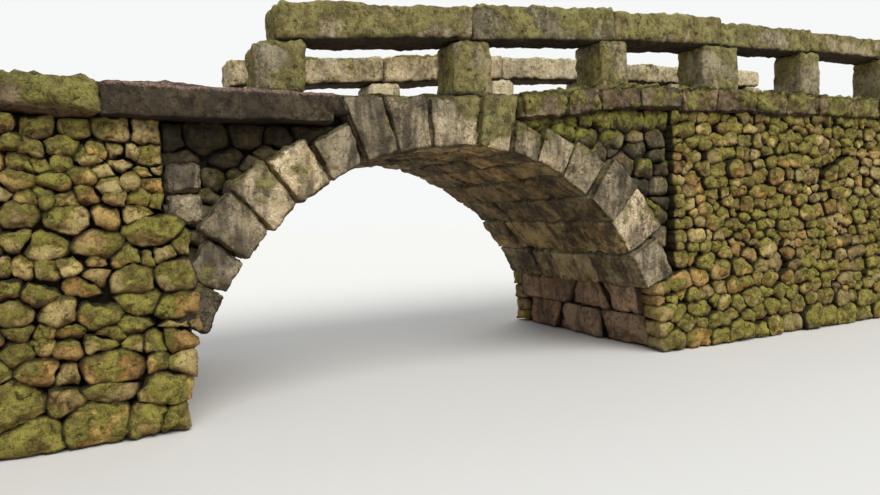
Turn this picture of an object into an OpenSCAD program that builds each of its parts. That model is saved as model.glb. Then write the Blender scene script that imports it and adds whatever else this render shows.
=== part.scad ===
// Rustic granite arch bridge with a dry-laid ring, rubble walls and stone-beam railings.
// X runs along the road, Y across it with the near face at negative Y, and Z up.
// The origin lies on the water line, midway between the two ends and the two faces.
// Every stone is drawn as an outline in the XZ plane and given its length along Y.

/* [Overall] */
// Length of the bridge along the road
bridge_l = 11500; // [9500:100:14000]
// Width between the near and the far face of the arch
bridge_w = 2150; // [1800:50:2800]

/* [Arch] */
// Radius of the soffit
arch_r = 2000; // [1650:50:2450]
// Depth of the arch's centre below the water line
arch_drop = 220; // [120:20:400]
// Angle from the crown to each springing
spring_angle = 67; // [58:1:72]
// Height of the keystone, from the soffit to the road edge
crown_depth = 370; // [320:10:480]
// How far each pier face stands back from its springer
pier_setback = 60; // [0:10:120]
// How far each pier's foot stands back from its head
pier_lean = 85; // [20:5:140]
// Open joint between neighbours across the width of the barrel
cross_joint = 4; // [2:1:12]

/* [Walls] */
// Thickness of the face walls
wall_t = 450; // [350:10:600]
// How far the foot of the rubble walls stands out from their head
wall_batter = 90; // [0:10:160]
// Masonry behind each springer, measured from the soffit's radius
abutment_back = 550; // [450:50:900]
// Where the left rubble wall ends by the arch, measured from the soffit's radius
left_wing_gap = 60; // [40:10:160]
// Where the right rubble wall ends by the arch, measured from the soffit's radius
right_wing_gap = 150; // [40:10:240]

/* [Road] */
// Thickness of the edge slabs and cornice blocks
edge_t = 200; // [140:10:240]
// How far the long slab and the coping stand out over the left walls
slab_overhang = 90; // [0:10:140]
// How far the cornice blocks stand out over the right walls
cornice_overhang = 50; // [0:10:120]
// Length of the long slab over the left haunch
slab_l = 1380; // [1200:20:1800]
// Thickness of the road bed between the edge stones
road_t = 100; // [60:10:140]
// How far the road surface lies below the edge stones
road_sink = 30; // [10:5:60]

/* [Railing] */
// Height of a rail beam
beam_h = 250; // [180:10:320]
// Width of a rail beam across the bridge
beam_w = 320; // [240:10:380]
// Depth of a post across the bridge
post_d = 350; // [260:10:420]
// Distance from a face of the bridge to the middle of its railing
rail_inset = 215; // [190:5:240]
// Height of the post at the low end of the railing
first_post_h = 345; // [200:5:420]

/* [Dressing] */
// Width of the worn edge round a stone's face
arris = 22; // [8:2:40]
// Clearance at the seats of stones that are set on a slope
seat = 0.3; // [0.2:0.1:0.8]

/* [Hidden] */
// Width of each ring stone on the soffit, from the left springing to the right one, in parts of the whole
stone_share = [7.5, 7, 7.5, 7, 8, 8, 7.5, 8, 11, 8, 7, 8.5, 9, 9, 11, 10];
// Depth of each ring stone; those at the crown are cut by the road instead
stone_depth = [230, 290, 370, 385, 355, 305, 0, 0, 0, 0, 250, 300, 360, 430, 450, 330];
// Depth of the face stones into the barrel, which alternates so that the cross joints break
bond_depth = [wall_t, wall_t + 170];
// First and last ring stone that rise to the road
crown_first = 6;
crown_last = 9;

// Lengths of the coping stones on the left walls and of the cornice blocks, in parts of their run
coping_share = [60, 70, 55, 80, 75];
cornice_low_share = [44, 36, 46];
cornice_high_share = [48, 44, 54, 46, 50, 52, 56, 50];

// Width of each post along the road, and how far it stands off an even pitch
post_w = [340, 340, 300, 480, 320, 280];
post_shift = [0, 85, 90, 25, -10, 0];
// How much each rail beam's far end rises above its near end
beam_rise = [145, 125, 80, 55, 50];
// Height of each rail beam, in parts of beam_h
beam_share = [1, 1.04, 0.98, 0.86, 0.88];
// Distance from the first post's centre to the left end of the crown stones
first_post_inset = 310;
// Distance from the last post's centre to the end of the bridge
end_post_inset = 170;
// Length of the beam that lies on the first post, left of its centre
beam_lap = 20;
// Gap between the ends of two rail beams, and between blocks of an edge course
end_joint = 6;
// Half the width of a post at its foot and at its head, in parts of its full width
post_foot = 0.48;
post_head = 0.43;
// Height at which a post is widest, in parts of its own height
post_belly = 0.33;
// How far a stone's end face is drawn in at its corners, in parts of the worn edge
arris_draw = 1.4;
// Gap between the long slab and the first crown stone, packed with small stones
slab_gap = 40;
// Height of the road edge at each of its bends, above the keystone's height
road_rise = [-90, -60, 32, 180, 262];
// Length of the steeper stretch of road right of the crown
ramp_l = 1210;

half_l = bridge_l / 2;
half_w = bridge_w / 2;
crown_top = arch_r - arch_drop + crown_depth;
abutment_x = arch_r + abutment_back;
// Reach that is past everything, for the outlines that are cut back
far_out = 2 * arch_r + crown_depth;

function sum_to(list, n, i = 0) = i >= n ? 0 : list[i] + sum_to(list, n, i + 1);
function sum_of(list) = sum_to(list, len(list));
function joint_angle(k) = spring_angle * (1 - 2 * sum_to(stone_share, k) / sum_of(stone_share));
function ring_point(angle, r) = [-r * sin(angle), r * cos(angle) - arch_drop];
function joint_x(k, z) = -(z + arch_drop) * tan(joint_angle(k));
function is_crown(i) = i >= crown_first && i <= crown_last;
function ring_reach(i) = is_crown(i) ? far_out : arch_r + stone_depth[i];

// The road edge, seen from the side: level on the left, then rising over the arch to the right bank
left_knee = joint_x(crown_first, crown_top) - slab_gap;
right_knee = joint_x(crown_last + 1, crown_top) + end_joint;
crest = right_knee + ramp_l;
road_bends = [-half_l, left_knee, right_knee, crest, half_l];
road_line = [for (i = [0:len(road_bends) - 1]) [road_bends[i], crown_top + road_rise[i]]];
function road_z(x) = lookup(x, road_line);
// Highest point of the road edge, to which the walls' lean is drawn
wall_top = road_line[len(road_line) - 1][1];
// Slope of the road edge over the crown stones
crown_slope = (road_line[2][1] - road_line[1][1]) / (right_knee - left_knee);

// The undersides of the rail beams, from post to post
posts = len(post_w);
first_post_x = left_knee - first_post_inset;
post_pitch = (half_l - end_post_inset - first_post_x) / (posts - 1);
function post_x(i) = first_post_x + i * post_pitch + post_shift[i];
function rail_z(i) = road_z(first_post_x) + first_post_h + sum_to(beam_rise, i);
function rail_slope(i) = beam_rise[i] / (post_x(i + 1) - post_x(i));
// The undersides bend over the inner posts, and the end slopes run on past the first and the last post
rail_line = concat(
    [[post_x(0) - post_pitch, rail_z(0) - rail_slope(0) * post_pitch]],
    [for (i = [1:posts - 2]) [post_x(i), rail_z(i)]],
    [[post_x(posts - 1) + post_pitch, rail_z(posts - 1) + rail_slope(posts - 2) * post_pitch]]
);

// Numbered names, such as voussoir_07
function two_digits(n) = str(n < 10 ? "0" : "", n);
function voussoir_name(i) = str("voussoir_", two_digits(i + 1));
function beam_name(face, i) = str(face, "_beam_", i + 1);
stones = len(stone_share);
beams = posts - 1;
faces = ["near", "far"];
ends = ["left", "right"];

// Gives an outline in the XZ plane its length from y0 to y1
module along_y(y0, y1) {
    translate([0, y1, 0])
        rotate([90, 0, 0])
            linear_extrude(y1 - y0)
                children();
}

// Gives an outline in the YZ plane its length from x0 to x1
module along_x(x0, x1) {
    translate([x0, 0, 0])
        rotate([90, 0, 90])
            linear_extrude(x1 - x0)
                children();
}

// Draws its children on the near face, or mirrored on the far one
module on_face(face) {
    if (face == "near") children();
    else mirror([0, 1, 0]) children();
}

function middle_of(points) = [for (axis = [0, 1]) sum_of([for (p = points) p[axis]]) / len(points)];
function moved_in(points, step) =
    let (middle = middle_of(points))
    [for (p = points) p + step * (middle - p) / norm(middle - p)];

// A stone with a convex outline in the XZ plane, from y0 to y1, with worn edges round both end faces
module hewn_stone(points, y0, y1) {
    hull() {
        along_y(y0 + arris, y1 - arris) polygon(points);
        along_y(y0, y1) polygon(moved_in(points, arris_draw * arris));
    }
}

// Everything below a line that is shifted by lift
module below(line, lift) {
    first = line[0];
    last = line[len(line) - 1];
    polygon(concat(
        [for (p = line) p + [0, lift]],
        [[last[0], -far_out], [first[0], -far_out]]
    ));
}

// The ring and all that it encloses, from the arch's centre out to the stones' stepped backs
module whole_ring() {
    polygon(concat(
        [[0, -arch_drop]],
        [for (i = [0:stones - 1])
            for (k = [i, i + 1])
                if (k > i || i == 0 || ring_reach(i) != ring_reach(i - 1))
                    ring_point(joint_angle(k), ring_reach(i))]
    ));
}

// Where a joint at this angle meets the road edge over the crown, shifted by lift
function road_crossing(angle, lift) =
    let (base = road_line[1][1] - crown_slope * left_knee + lift,
         r = (base + arch_drop) / (cos(angle) + crown_slope * sin(angle)))
    ring_point(angle, r);

// A top corner of a ring stone: on its own back, or at the road edge over the crown
function top_corner(k, i, lift) =
    is_crown(i) ? road_crossing(joint_angle(k), lift) : ring_point(joint_angle(k), ring_reach(i));

function stone_outline(i, lift) = [
    ring_point(joint_angle(i), arch_r),
    ring_point(joint_angle(i + 1), arch_r),
    top_corner(i + 1, i, lift),
    top_corner(i, i, lift)
];

// A course of the ring: a face stone at each side and a longer one between them
module voussoir(i) {
    depth = is_crown(i) ? wall_t : bond_depth[i % 2];
    inner = half_w - depth;
    road_bottom = -road_sink - road_t;
    color("#8d8670") {
        hewn_stone(stone_outline(i, 0), -half_w, -inner);
        hewn_stone(stone_outline(i, 0), inner, half_w);
        hewn_stone(stone_outline(i, road_bottom), -inner + cross_joint, inner - cross_joint);
    }
}

function spring_stone(end) = end == "left" ? 0 : stones - 1;
function side_of(end) = end == "left" ? -1 : 1;
function wing_x(end) = arch_r + (end == "left" ? left_wing_gap : right_wing_gap);
// The top of a skewback, where the springer's back meets the abutment
function skewback_top(end) =
    let (p = ring_point(spring_angle, arch_r + stone_depth[spring_stone(end)]))
    [-side_of(end) * p[0], p[1]];

// The pier and the masonry behind it, full width, with the skewback that the ring springs from
module abutment(end) {
    side = side_of(end);
    head = ring_point(spring_angle, arch_r + pier_setback);
    top = skewback_top(end);
    color("#76734f")
        intersection() {
            along_y(-half_w - wall_batter, half_w + wall_batter)
                polygon([
                    [-side * (head[0] - pier_lean), 0],
                    [-side * head[0], head[1]],
                    top,
                    [side * abutment_x, top[1]],
                    [side * abutment_x, 0]
                ]);
            along_x(-half_l, half_l) {
                wall_section(-half_w - wall_batter, half_w);
                wall_section(-half_w, half_w + wall_batter);
            }
        }
}

// The space over an abutment, between two distances from mid-span
module above_abutment(end, x0, x1) {
    translate([side_of(end) < 0 ? -x1 : x0, skewback_top(end)[1]])
        square([x1 - x0, far_out]);
}

// The space from the back of an abutment to the end of the bridge
module past_abutment(end) {
    translate([side_of(end) < 0 ? -half_l : abutment_x, 0])
        square([half_l - abutment_x, far_out]);
}

// A wall between two Y values whose face leans by the batter if it is the bridge's own
module wall_section(y0, y1) {
    head_0 = y0 < -half_w ? -half_w : y0;
    head_1 = y1 > half_w ? half_w : y1;
    polygon([[y0, 0], [y1, 0], [head_1, wall_top], [head_0, wall_top]]);
}

// The face wall from the abutment up to the edge stones, over the back of the ring
module spandrel(end) {
    color("#6c6850")
        along_y(-half_w, -half_w + wall_t)
            difference() {
                union() {
                    intersection() {
                        below(road_line, -edge_t);
                        above_abutment(end, 0, wing_x(end));
                    }
                    if (end == "left")
                        intersection() {
                            below(road_line, -slab_gap);
                            above_abutment(end, 0, -left_knee - end_joint);
                        }
                }
                whole_ring();
            }
}

// The rubble wall, from the end of the bridge over the abutment to the spandrel
module wing_wall(end) {
    color("#777347")
        intersection() {
            along_y(-half_w - wall_batter, half_w)
                difference() {
                    intersection() {
                        below(road_line, -edge_t);
                        union() {
                            past_abutment(end);
                            above_abutment(end, wing_x(end), abutment_x);
                        }
                    }
                    whole_ring();
                }
            along_x(-half_l, half_l) wall_section(-half_w - wall_batter, -half_w + wall_t);
        }
}

// The hearting of packed rubble between the face walls
module core(end) {
    inner = half_w - wall_t;
    color("#6b5d49")
        along_y(-inner, inner)
            difference() {
                intersection() {
                    below(road_line, -road_sink - road_t);
                    union() {
                        past_abutment(end);
                        above_abutment(end, 0, abutment_x);
                    }
                }
                whole_ring();
            }
}

// The bed of earth and worn paving between the edge stones
module road_bed() {
    inner = half_w - wall_t;
    color("#7d6a55")
        along_y(-inner, inner)
            difference() {
                below(road_line, -road_sink);
                below(road_line, -road_sink - road_t);
            }
}

// One edge stone between two stations, on the near face
module edge_stone(x0, x1, overhang) {
    left = x0 + end_joint / 2;
    right = x1 - end_joint / 2;
    hewn_stone([
        [left, road_z(left) - edge_t + seat],
        [right, road_z(right) - edge_t + seat],
        [right, road_z(right)],
        [left, road_z(left)]
    ], -half_w - overhang, -half_w + wall_t);
}

// A row of edge stones between two stations, with lengths in given shares
module edge_course(x0, x1, shares, overhang) {
    scale_x = (x1 - x0) / sum_of(shares);
    for (i = [0:len(shares) - 1])
        edge_stone(x0 + scale_x * sum_to(shares, i), x0 + scale_x * sum_to(shares, i + 1), overhang);
}

// The long slab over the left haunch, and the coping of the left wall
module left_edge_slabs() {
    color("#87806a") {
        edge_stone(left_knee - slab_l, left_knee, slab_overhang);
        edge_course(-half_l, left_knee - slab_l, coping_share, slab_overhang);
    }
}

// The blocks that edge the road from the crown to the right bank
module right_cornice() {
    color("#7f7a60") {
        edge_course(right_knee, crest, cornice_low_share, cornice_overhang);
        edge_course(crest, half_l, cornice_high_share, cornice_overhang);
    }
}

// A rectangle with its corners cut off
module cut_rectangle(x0, x1, y0, y1, cut) {
    polygon([
        [x0 + cut, y0], [x1 - cut, y0], [x1, y0 + cut], [x1, y1 - cut],
        [x1 - cut, y1], [x0 + cut, y1], [x0, y1 - cut], [x0, y0 + cut]
    ]);
}

// The outline of a rough post: widest at its belly, drawn in at the head, and running on past both ends
function post_outline(middle, width, z0, z1) = [
    [middle - width * post_foot, z0 - width],
    [middle - width * post_foot, z0],
    [middle - width / 2, z0 + (z1 - z0) * post_belly],
    [middle - width * post_head, z1],
    [middle - width * post_head, z1 + width],
    [middle + width * post_head, z1 + width],
    [middle + width * post_head, z1],
    [middle + width / 2, z0 + (z1 - z0) * post_belly],
    [middle + width * post_foot, z0],
    [middle + width * post_foot, z0 - width]
];

// A post, from the road edge up to the undersides of the beams that meet on it
module post(i) {
    x = post_x(i);
    z0 = road_z(x);
    z1 = rail_z(i);
    y = -half_w + rail_inset;
    color("#6f6f3c")
        intersection() {
            along_y(y - post_d / 2, y + post_d / 2)
                intersection() {
                    polygon(post_outline(x, post_w[i], z0, z1));
                    difference() {
                        below(rail_line, -seat);
                        below(road_line, seat);
                    }
                }
            along_x(x - post_w[i], x + post_w[i]) polygon(post_outline(y, post_d, z0, z1));
            translate([0, 0, z0 - post_w[i]])
                linear_extrude(z1 - z0 + 2 * post_w[i])
                    cut_rectangle(x - post_w[i] / 2, x + post_w[i] / 2,
                                  y - post_d / 2, y + post_d / 2, 2 * arris);
        }
}

// A roughly squared rail beam that spans from post to post, with a slightly hogged back
module beam(i) {
    x0 = post_x(i) - (i == 0 ? beam_lap : -end_joint / 2);
    x1 = i == beams - 1 ? half_l - 2 * arris : post_x(i + 1) - end_joint / 2;
    rise = rail_slope(i);
    function bottom(x) = rail_z(i) + rise * (x - post_x(i));
    height = beam_h * beam_share[i];
    y = -half_w + rail_inset;
    middle = (x0 + x1) / 2;
    color("#74733f")
        intersection() {
            along_y(y - beam_w / 2, y + beam_w / 2)
                polygon([
                    [x0 + arris, bottom(x0 + arris)],
                    [x1 - arris, bottom(x1 - arris)],
                    [x1, bottom(x1) + arris],
                    [x1, bottom(x1) + height - 2 * arris],
                    [x1 - 2 * arris, bottom(x1) + height],
                    [middle, bottom(middle) + height + arris / 2],
                    [x0 + 2 * arris, bottom(x0) + height],
                    [x0, bottom(x0) + height - 2 * arris],
                    [x0, bottom(x0) + arris]
                ]);
            translate([0, 0, bottom(x0)])
                multmatrix([[1, 0, 0, 0], [0, 1, 0, 0], [rise, 0, 1, -rise * x0], [0, 0, 0, 1]])
                    along_x(x0 - beam_w, x1 + beam_w)
                        cut_rectangle(y - beam_w / 2, y + beam_w / 2, 0, height + arris, 2 * arris);
        }
}

for (i = [0:stones - 1])
    voussoir(i);
for (end = ends) {
    abutment(end);
    core(end);
}
for (face = faces) {
    for (end = ends) {
        on_face(face) spandrel(end);
        on_face(face) wing_wall(end);
    }
    on_face(face) left_edge_slabs();
    on_face(face) right_cornice();
    on_face(face) for (i = [0:posts - 1]) post(i);
    for (i = [0:beams - 1])
        on_face(face) beam(i);
}
road_bed();
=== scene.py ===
"""Finish of a rustic granite footbridge.

Each CAD node of the bridge gets weathered masonry in its place: dented, round-edged blocks in the arch ring,
coursed rubble on the walls, rough slabs along the road, stub posts and long rail beams, with moss on their
upper sides.
Lengths are in metres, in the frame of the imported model: X along the road, Y across it, Z up.
"""
import itertools
import logging
import math
from dataclasses import dataclass, field, replace
from enum import Enum
from functools import partial
from typing import Callable, Sequence, Union

import bpy
import numpy as np
from mathutils import Matrix, Vector


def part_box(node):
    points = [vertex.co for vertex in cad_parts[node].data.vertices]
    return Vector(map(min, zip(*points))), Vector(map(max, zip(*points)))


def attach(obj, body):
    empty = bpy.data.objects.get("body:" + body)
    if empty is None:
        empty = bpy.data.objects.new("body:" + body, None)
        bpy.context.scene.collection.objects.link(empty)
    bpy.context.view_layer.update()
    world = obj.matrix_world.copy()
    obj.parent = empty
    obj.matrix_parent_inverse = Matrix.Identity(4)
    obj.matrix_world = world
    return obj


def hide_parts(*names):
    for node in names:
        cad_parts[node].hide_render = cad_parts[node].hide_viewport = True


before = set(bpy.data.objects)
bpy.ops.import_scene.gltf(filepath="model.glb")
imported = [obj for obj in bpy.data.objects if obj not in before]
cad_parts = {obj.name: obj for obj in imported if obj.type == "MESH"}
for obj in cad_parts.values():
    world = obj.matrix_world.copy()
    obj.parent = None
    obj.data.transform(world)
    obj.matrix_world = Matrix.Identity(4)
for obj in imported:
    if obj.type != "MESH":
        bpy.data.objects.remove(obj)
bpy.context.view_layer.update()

Array = np.ndarray
Colour = tuple[float, float, float]
# Gives a value for each point
Zone = Callable[[Array], Array]
# Turns places along a face, heights and depths behind it into points
Placer = Callable[[Array, Array, Array], Array]
Socket = bpy.types.NodeSocket
Sockets = bpy.types.bpy_prop_collection
Value = Union[Socket, float, Sequence[float]]
Inputs = dict[Union[int, str], Value]
log = logging.getLogger("bridge")

ROOT = "root"
X, Y, Z = range(3)
# Within this distance of a plane, a CAD point lies on it
TOUCHING = 0.001
# Distance in noise space between one stone and the next, so that no pattern runs on from stone to stone
STONE_STRIDE = 37.0
# Colours that all finishes share, and the strength of their fine relief
# The joints' colour is painted shade: the near black that joints and packing are mixed to
PAINTED_JOINT_SHADE = (0.008, 0.006, 0.004)
MOSS_DRY = (0.25, 0.165, 0.07)
# Painted shade in the hollows between moss tufts
MOSS_HOLLOW_SHADE = (0.035, 0.03, 0.011)
EARTH_DARK = (0.12, 0.075, 0.055)
EARTH_PALE = (0.36, 0.25, 0.195)
BUMP_STRENGTH = 0.9


class Side(Enum):
    """A side of the bridge, by a sign."""

    @property
    def word(self) -> str:
        """The side's name in a node's name."""
        return self.name.lower()


class Face(Side):
    """A long side of the bridge, by the sign of its Y."""

    NEAR = -1
    FAR = 1


class End(Side):
    """An end of the bridge, by the sign of its X."""

    LEFT = -1
    RIGHT = 1


class Axis(Enum):
    """A unit block's own directions, as an index into its points."""

    WIDTH = 0
    DEPTH = 1
    HEIGHT = 2


class Mark(Enum):
    """What a finish reads at each point of a skin, as a value from 0 to 1."""

    MOSS = "moss"
    # How deep a point lies in a joint, which the finish paints as shade
    SHADE = "shade"
    # How sheltered a point is: bare and browner, and darkened as painted shade
    SHELTER = "shelter"
    DIRT = "dirt"


class Tone(Enum):
    """How light a stone is, as the second of its random numbers, which lies between 0 and 1 on most."""

    # As dark as a stone in shadow: painted shade
    IN_PAINTED_SHADE = -0.7
    DARK = 0.0
    DULL = 0.3
    PALE = 1.0
    BRIGHT = 1.7


def smooth(value: Array, low: float, high: float) -> Array:
    """A step from 0 at low to 1 at high, with the cubic 3 t t - 2 t t t between them."""
    t = np.clip((value - low) / (high - low), 0.0, 1.0)
    return t * t * (3.0 - 2.0 * t)


def eased(cells: int, crowd: float) -> Array:
    """Grid lines from -1 to 1: even ones, blended with their sine, which crowds them towards both ends."""
    even = np.linspace(-1.0, 1.0, cells + 1)
    return (1.0 - crowd) * even + crowd * np.sin(even * np.pi / 2)


def repeated(faces: Sequence[Array], size: int, count: int) -> list[Array]:
    """The faces of a number of like surfaces, from those of the first, with size points in each."""
    starts = size * np.arange(count)[:, None, None]
    return [(face[None] + starts).reshape(-1, face.shape[1]) for face in faces]


class Noise:
    """Gradient noise on a cubic lattice, whose points each pull in a random direction, blended smoothly."""

    # Number of lattice directions, which is a power of two, and the factor that spreads the values out
    SIZE = 256
    SPREAD = 1.6

    def __init__(self, seed: int) -> None:
        """Draw the lattice's hash table and its directions.

        Args:
            seed: Number that fixes the whole pattern.
        """
        rng = np.random.default_rng(seed)
        self.table = rng.permutation(self.SIZE)
        pull = rng.normal(size=(self.SIZE, 3))
        self.pull = pull / np.linalg.norm(pull, axis=1, keepdims=True)

    def at(self, points: Array) -> Array:
        """One octave of noise, from about -1 to 1, with features a unit apart.

        Args:
            points: Points of shape (n, 3).

        Returns:
            One value a point.
        """
        cell = np.floor(points).astype(np.int64)
        inside = points - cell
        fade = inside**3 * (inside * (inside * 6.0 - 15.0) + 10.0)
        total = np.zeros(len(points))
        for corner in itertools.product((0, 1), repeat=3):
            near = cell + corner
            pick = self.table[near[:, 0] & (self.SIZE - 1)]
            pick = self.table[(pick + near[:, 1]) & (self.SIZE - 1)]
            pick = self.table[(pick + near[:, 2]) & (self.SIZE - 1)]
            weight = np.prod(np.where(corner, fade, 1.0 - fade), axis=1)
            total += weight * np.einsum("ij,ij->i", self.pull[pick], inside - corner)
        return self.SPREAD * total

    def layered(self, points: Array, size: float, octaves: int, gain: float = 0.5) -> Array:
        """Octaves of noise: the first of a given size, each next half as large and gain times as strong."""
        return sum(gain**k * self.at(points * 2.0**k / size + 11.3 * k) for k in range(octaves))


@dataclass
class Skin:
    """A closed surface, and what its finish reads at each point of it.

    Attributes:
        points: Places, of shape (n, 3).
        faces: Arrays of point indices, of shape (m, 3) or (m, 4).
        stone: Three random numbers of the stone that the point is on, from 0 to 1.
        marks: How thick the moss is, how deep the point lies in a joint, which is painted as shade, how
            sheltered
        it is from rain and light, which also darkens it as painted shade, and how much earth lies on it.
    """

    points: Array
    faces: list[Array]
    stone: Array
    marks: dict[Mark, Array]

    @staticmethod
    def joined(skins: Sequence["Skin"]) -> "Skin":
        """All the skins as one, each still closed by itself."""
        starts = np.cumsum([0] + [len(s.points) for s in skins])
        return Skin(
            np.concatenate([s.points for s in skins]),
            [f + start for s, start in zip(skins, starts) for f in s.faces],
            np.concatenate([s.stone for s in skins]),
            {mark: np.concatenate([s.marks[mark] for s in skins]) for mark in Mark},
        )

    @staticmethod
    def plain(points: Array, faces: list[Array], **levels: Union[Array, float]) -> "Skin":
        """A skin that isn't cut into stones, with some marks at given levels and the others at 0."""
        marks = {mark: np.full(len(points), levels.get(mark.value, 0.0), dtype=float) for mark in Mark}
        return Skin(points, outward(points, faces), np.full((len(points), 3), 0.5), marks)

    def triangles(self) -> int:
        """Number of triangles that the skin comes to."""
        return sum(len(f) * (f.shape[1] - 2) for f in self.faces)


def point_normals(points: Array, faces: Sequence[Array]) -> Array:
    """Unit normals at the points: the sum of the area vectors of the faces round each one.

    Args:
        points: Places, of shape (n, 3).
        faces: Arrays of point indices.

    Returns:
        Normals of shape (n, 3).
    """
    total = np.zeros_like(points)
    for face in faces:
        last = face.shape[1] - 1
        area = np.cross(points[face[:, 2]] - points[face[:, 0]], points[face[:, last]] - points[face[:, 1]])
        if last == 2:
            area = np.cross(points[face[:, 1]] - points[face[:, 0]], points[face[:, 2]] - points[face[:, 0]])
        for k, axis in itertools.product(range(last + 1), range(3)):
            total[:, axis] += np.bincount(face[:, k], area[:, axis], len(points))
    return total / np.maximum(np.linalg.norm(total, axis=1, keepdims=True), 1e-12)


def outward(points: Array, faces: list[Array]) -> list[Array]:
    """The faces, turned over if the volume that they enclose comes out negative.

    Args:
        points: Places, of shape (n, 3).
        faces: Arrays of point indices.

    Returns:
        The faces, wound so that their normals point outwards.
    """
    centre = points.mean(axis=0)
    volume = 0.0
    for face in faces:
        for k in range(1, face.shape[1] - 1):
            a, b, c = (points[face[:, i]] - centre for i in (0, k, k + 1))
            volume += float(np.einsum("ij,ij->", a, np.cross(b, c)))
    return faces if volume > 0 else [face[:, ::-1] for face in faces]


class BlockGrid:
    """The skin of a block from -1 to 1 along width, depth and height, cut into cells and welded."""

    def __init__(
        self, cells: tuple[int, int, int], capped: tuple[Axis, int] | None = None, crowd: float = 0.45
    ) -> None:
        """Lay a grid of quads on each side.

        Args:
            cells: Number of cells along width, depth and height.
            capped: The axis and sign of a hidden side, which is closed by plain triangles to its middle.
            crowd: How far the grid lines crowd towards the edges.
        """
        lines = [eased(n, crowd) for n in cells]
        sheets, quads, start = [], [], 0
        for axis, sign in itertools.product(range(3), (-1, 1)):
            if capped is not None and (axis, sign) == (capped[0].value, capped[1]):
                continue
            u, v = lines[(axis + 1) % 3], lines[(axis + 2) % 3]
            sheet = np.empty((u.size, v.size, 3))
            sheet[..., axis] = sign
            sheet[..., (axis + 1) % 3] = u[:, None]
            sheet[..., (axis + 2) % 3] = v[None, :]
            index = start + np.arange(u.size * v.size).reshape(u.size, v.size)
            turn = (index[:-1, :-1], index[1:, :-1], index[1:, 1:], index[:-1, 1:])
            quad = np.stack(turn, axis=-1).reshape(-1, 4)
            quads.append(quad if sign > 0 else quad[:, ::-1])
            sheets.append(sheet.reshape(-1, 3))
            start += u.size * v.size
        self.points, weld = np.unique(np.round(np.concatenate(sheets), 9), axis=0, return_inverse=True)
        quad = weld.reshape(-1)[np.concatenate(quads)]
        self.faces = [quad]
        if capped is not None:
            self._cap(quad, capped)

    def _cap(self, quad: Array, capped: tuple[Axis, int]) -> None:
        """Close the open side, by triangles from each edge that only one quad has to a new middle point.

        Args:
            quad: The corners of the quads.
            capped: The open side's axis and sign.
        """
        edge = quad[:, [0, 1, 1, 2, 2, 3, 3, 0]].reshape(-1, 2)
        size = len(self.points)
        rim = edge[~np.isin(edge[:, 0] * size + edge[:, 1], edge[:, 1] * size + edge[:, 0])]
        middle = np.zeros((1, 3))
        middle[0, capped[0].value] = capped[1]
        self.points = np.concatenate([self.points, middle])
        self.faces.append(np.column_stack([rim[:, 1], rim[:, 0], np.full(len(rim), size)]))


@dataclass(frozen=True)
class Mossing:
    """Where moss grows on a stone, and how thick.

    Attributes:
        level: Cover of a level stretch of average damp, which 0 leaves bare and 1 covers.
        facing: What looking straight up adds to the cover.
        patch: How strongly the cover comes and goes in patches.
        thickness: Height of a full cushion.
        cushion: Size of the cushions along the surface.
    """

    level: float
    facing: float
    patch: float = 0.5
    thickness: float = 0.008
    cushion: float = 0.07


@dataclass(frozen=True)
class Wear:
    """How a block's skin departs from a plain rounded block.

    Attributes:
        radius: Radius of the worn edges.
        dent: Depth of the broad dents, and dent_size their size.
        rough: Depth of the roughness left by splitting, and rough_size its size.
        chip: Depth of what has broken off the edges.
        bulge: How far the outer side swells at its middle.
        moss: Where moss grows.
        joint_dirt_and_shade: How far the edges darken towards the joints, as dirt and painted shade.
    """

    radius: float
    dent: float
    dent_size: float
    rough: float
    rough_size: float
    chip: float
    bulge: float
    moss: Mossing
    joint_dirt_and_shade: float = 0.0


def nowhere(points: Array) -> Array:
    """Nothing at any of the points."""
    return np.zeros(len(points))


@dataclass(frozen=True)
class Setting:
    """What a stone's place in the bridge does to it, as functions of points.

    Attributes:
        moss: What is added to the moss cover.
        shelter: How far the place is kept from rain and light, which leaves it bare and browner, and darker as
        painted shade.
        dirt: How much earth lies there.
        bared: How far what would be a joint between stones lies open there, at a corner of the wall, so that
            the
        painted shade of a joint is left off.
    """

    moss: Zone = nowhere
    shelter: Zone = nowhere
    dirt: Zone = nowhere
    bared: Zone = nowhere


OPEN = Setting()


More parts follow.
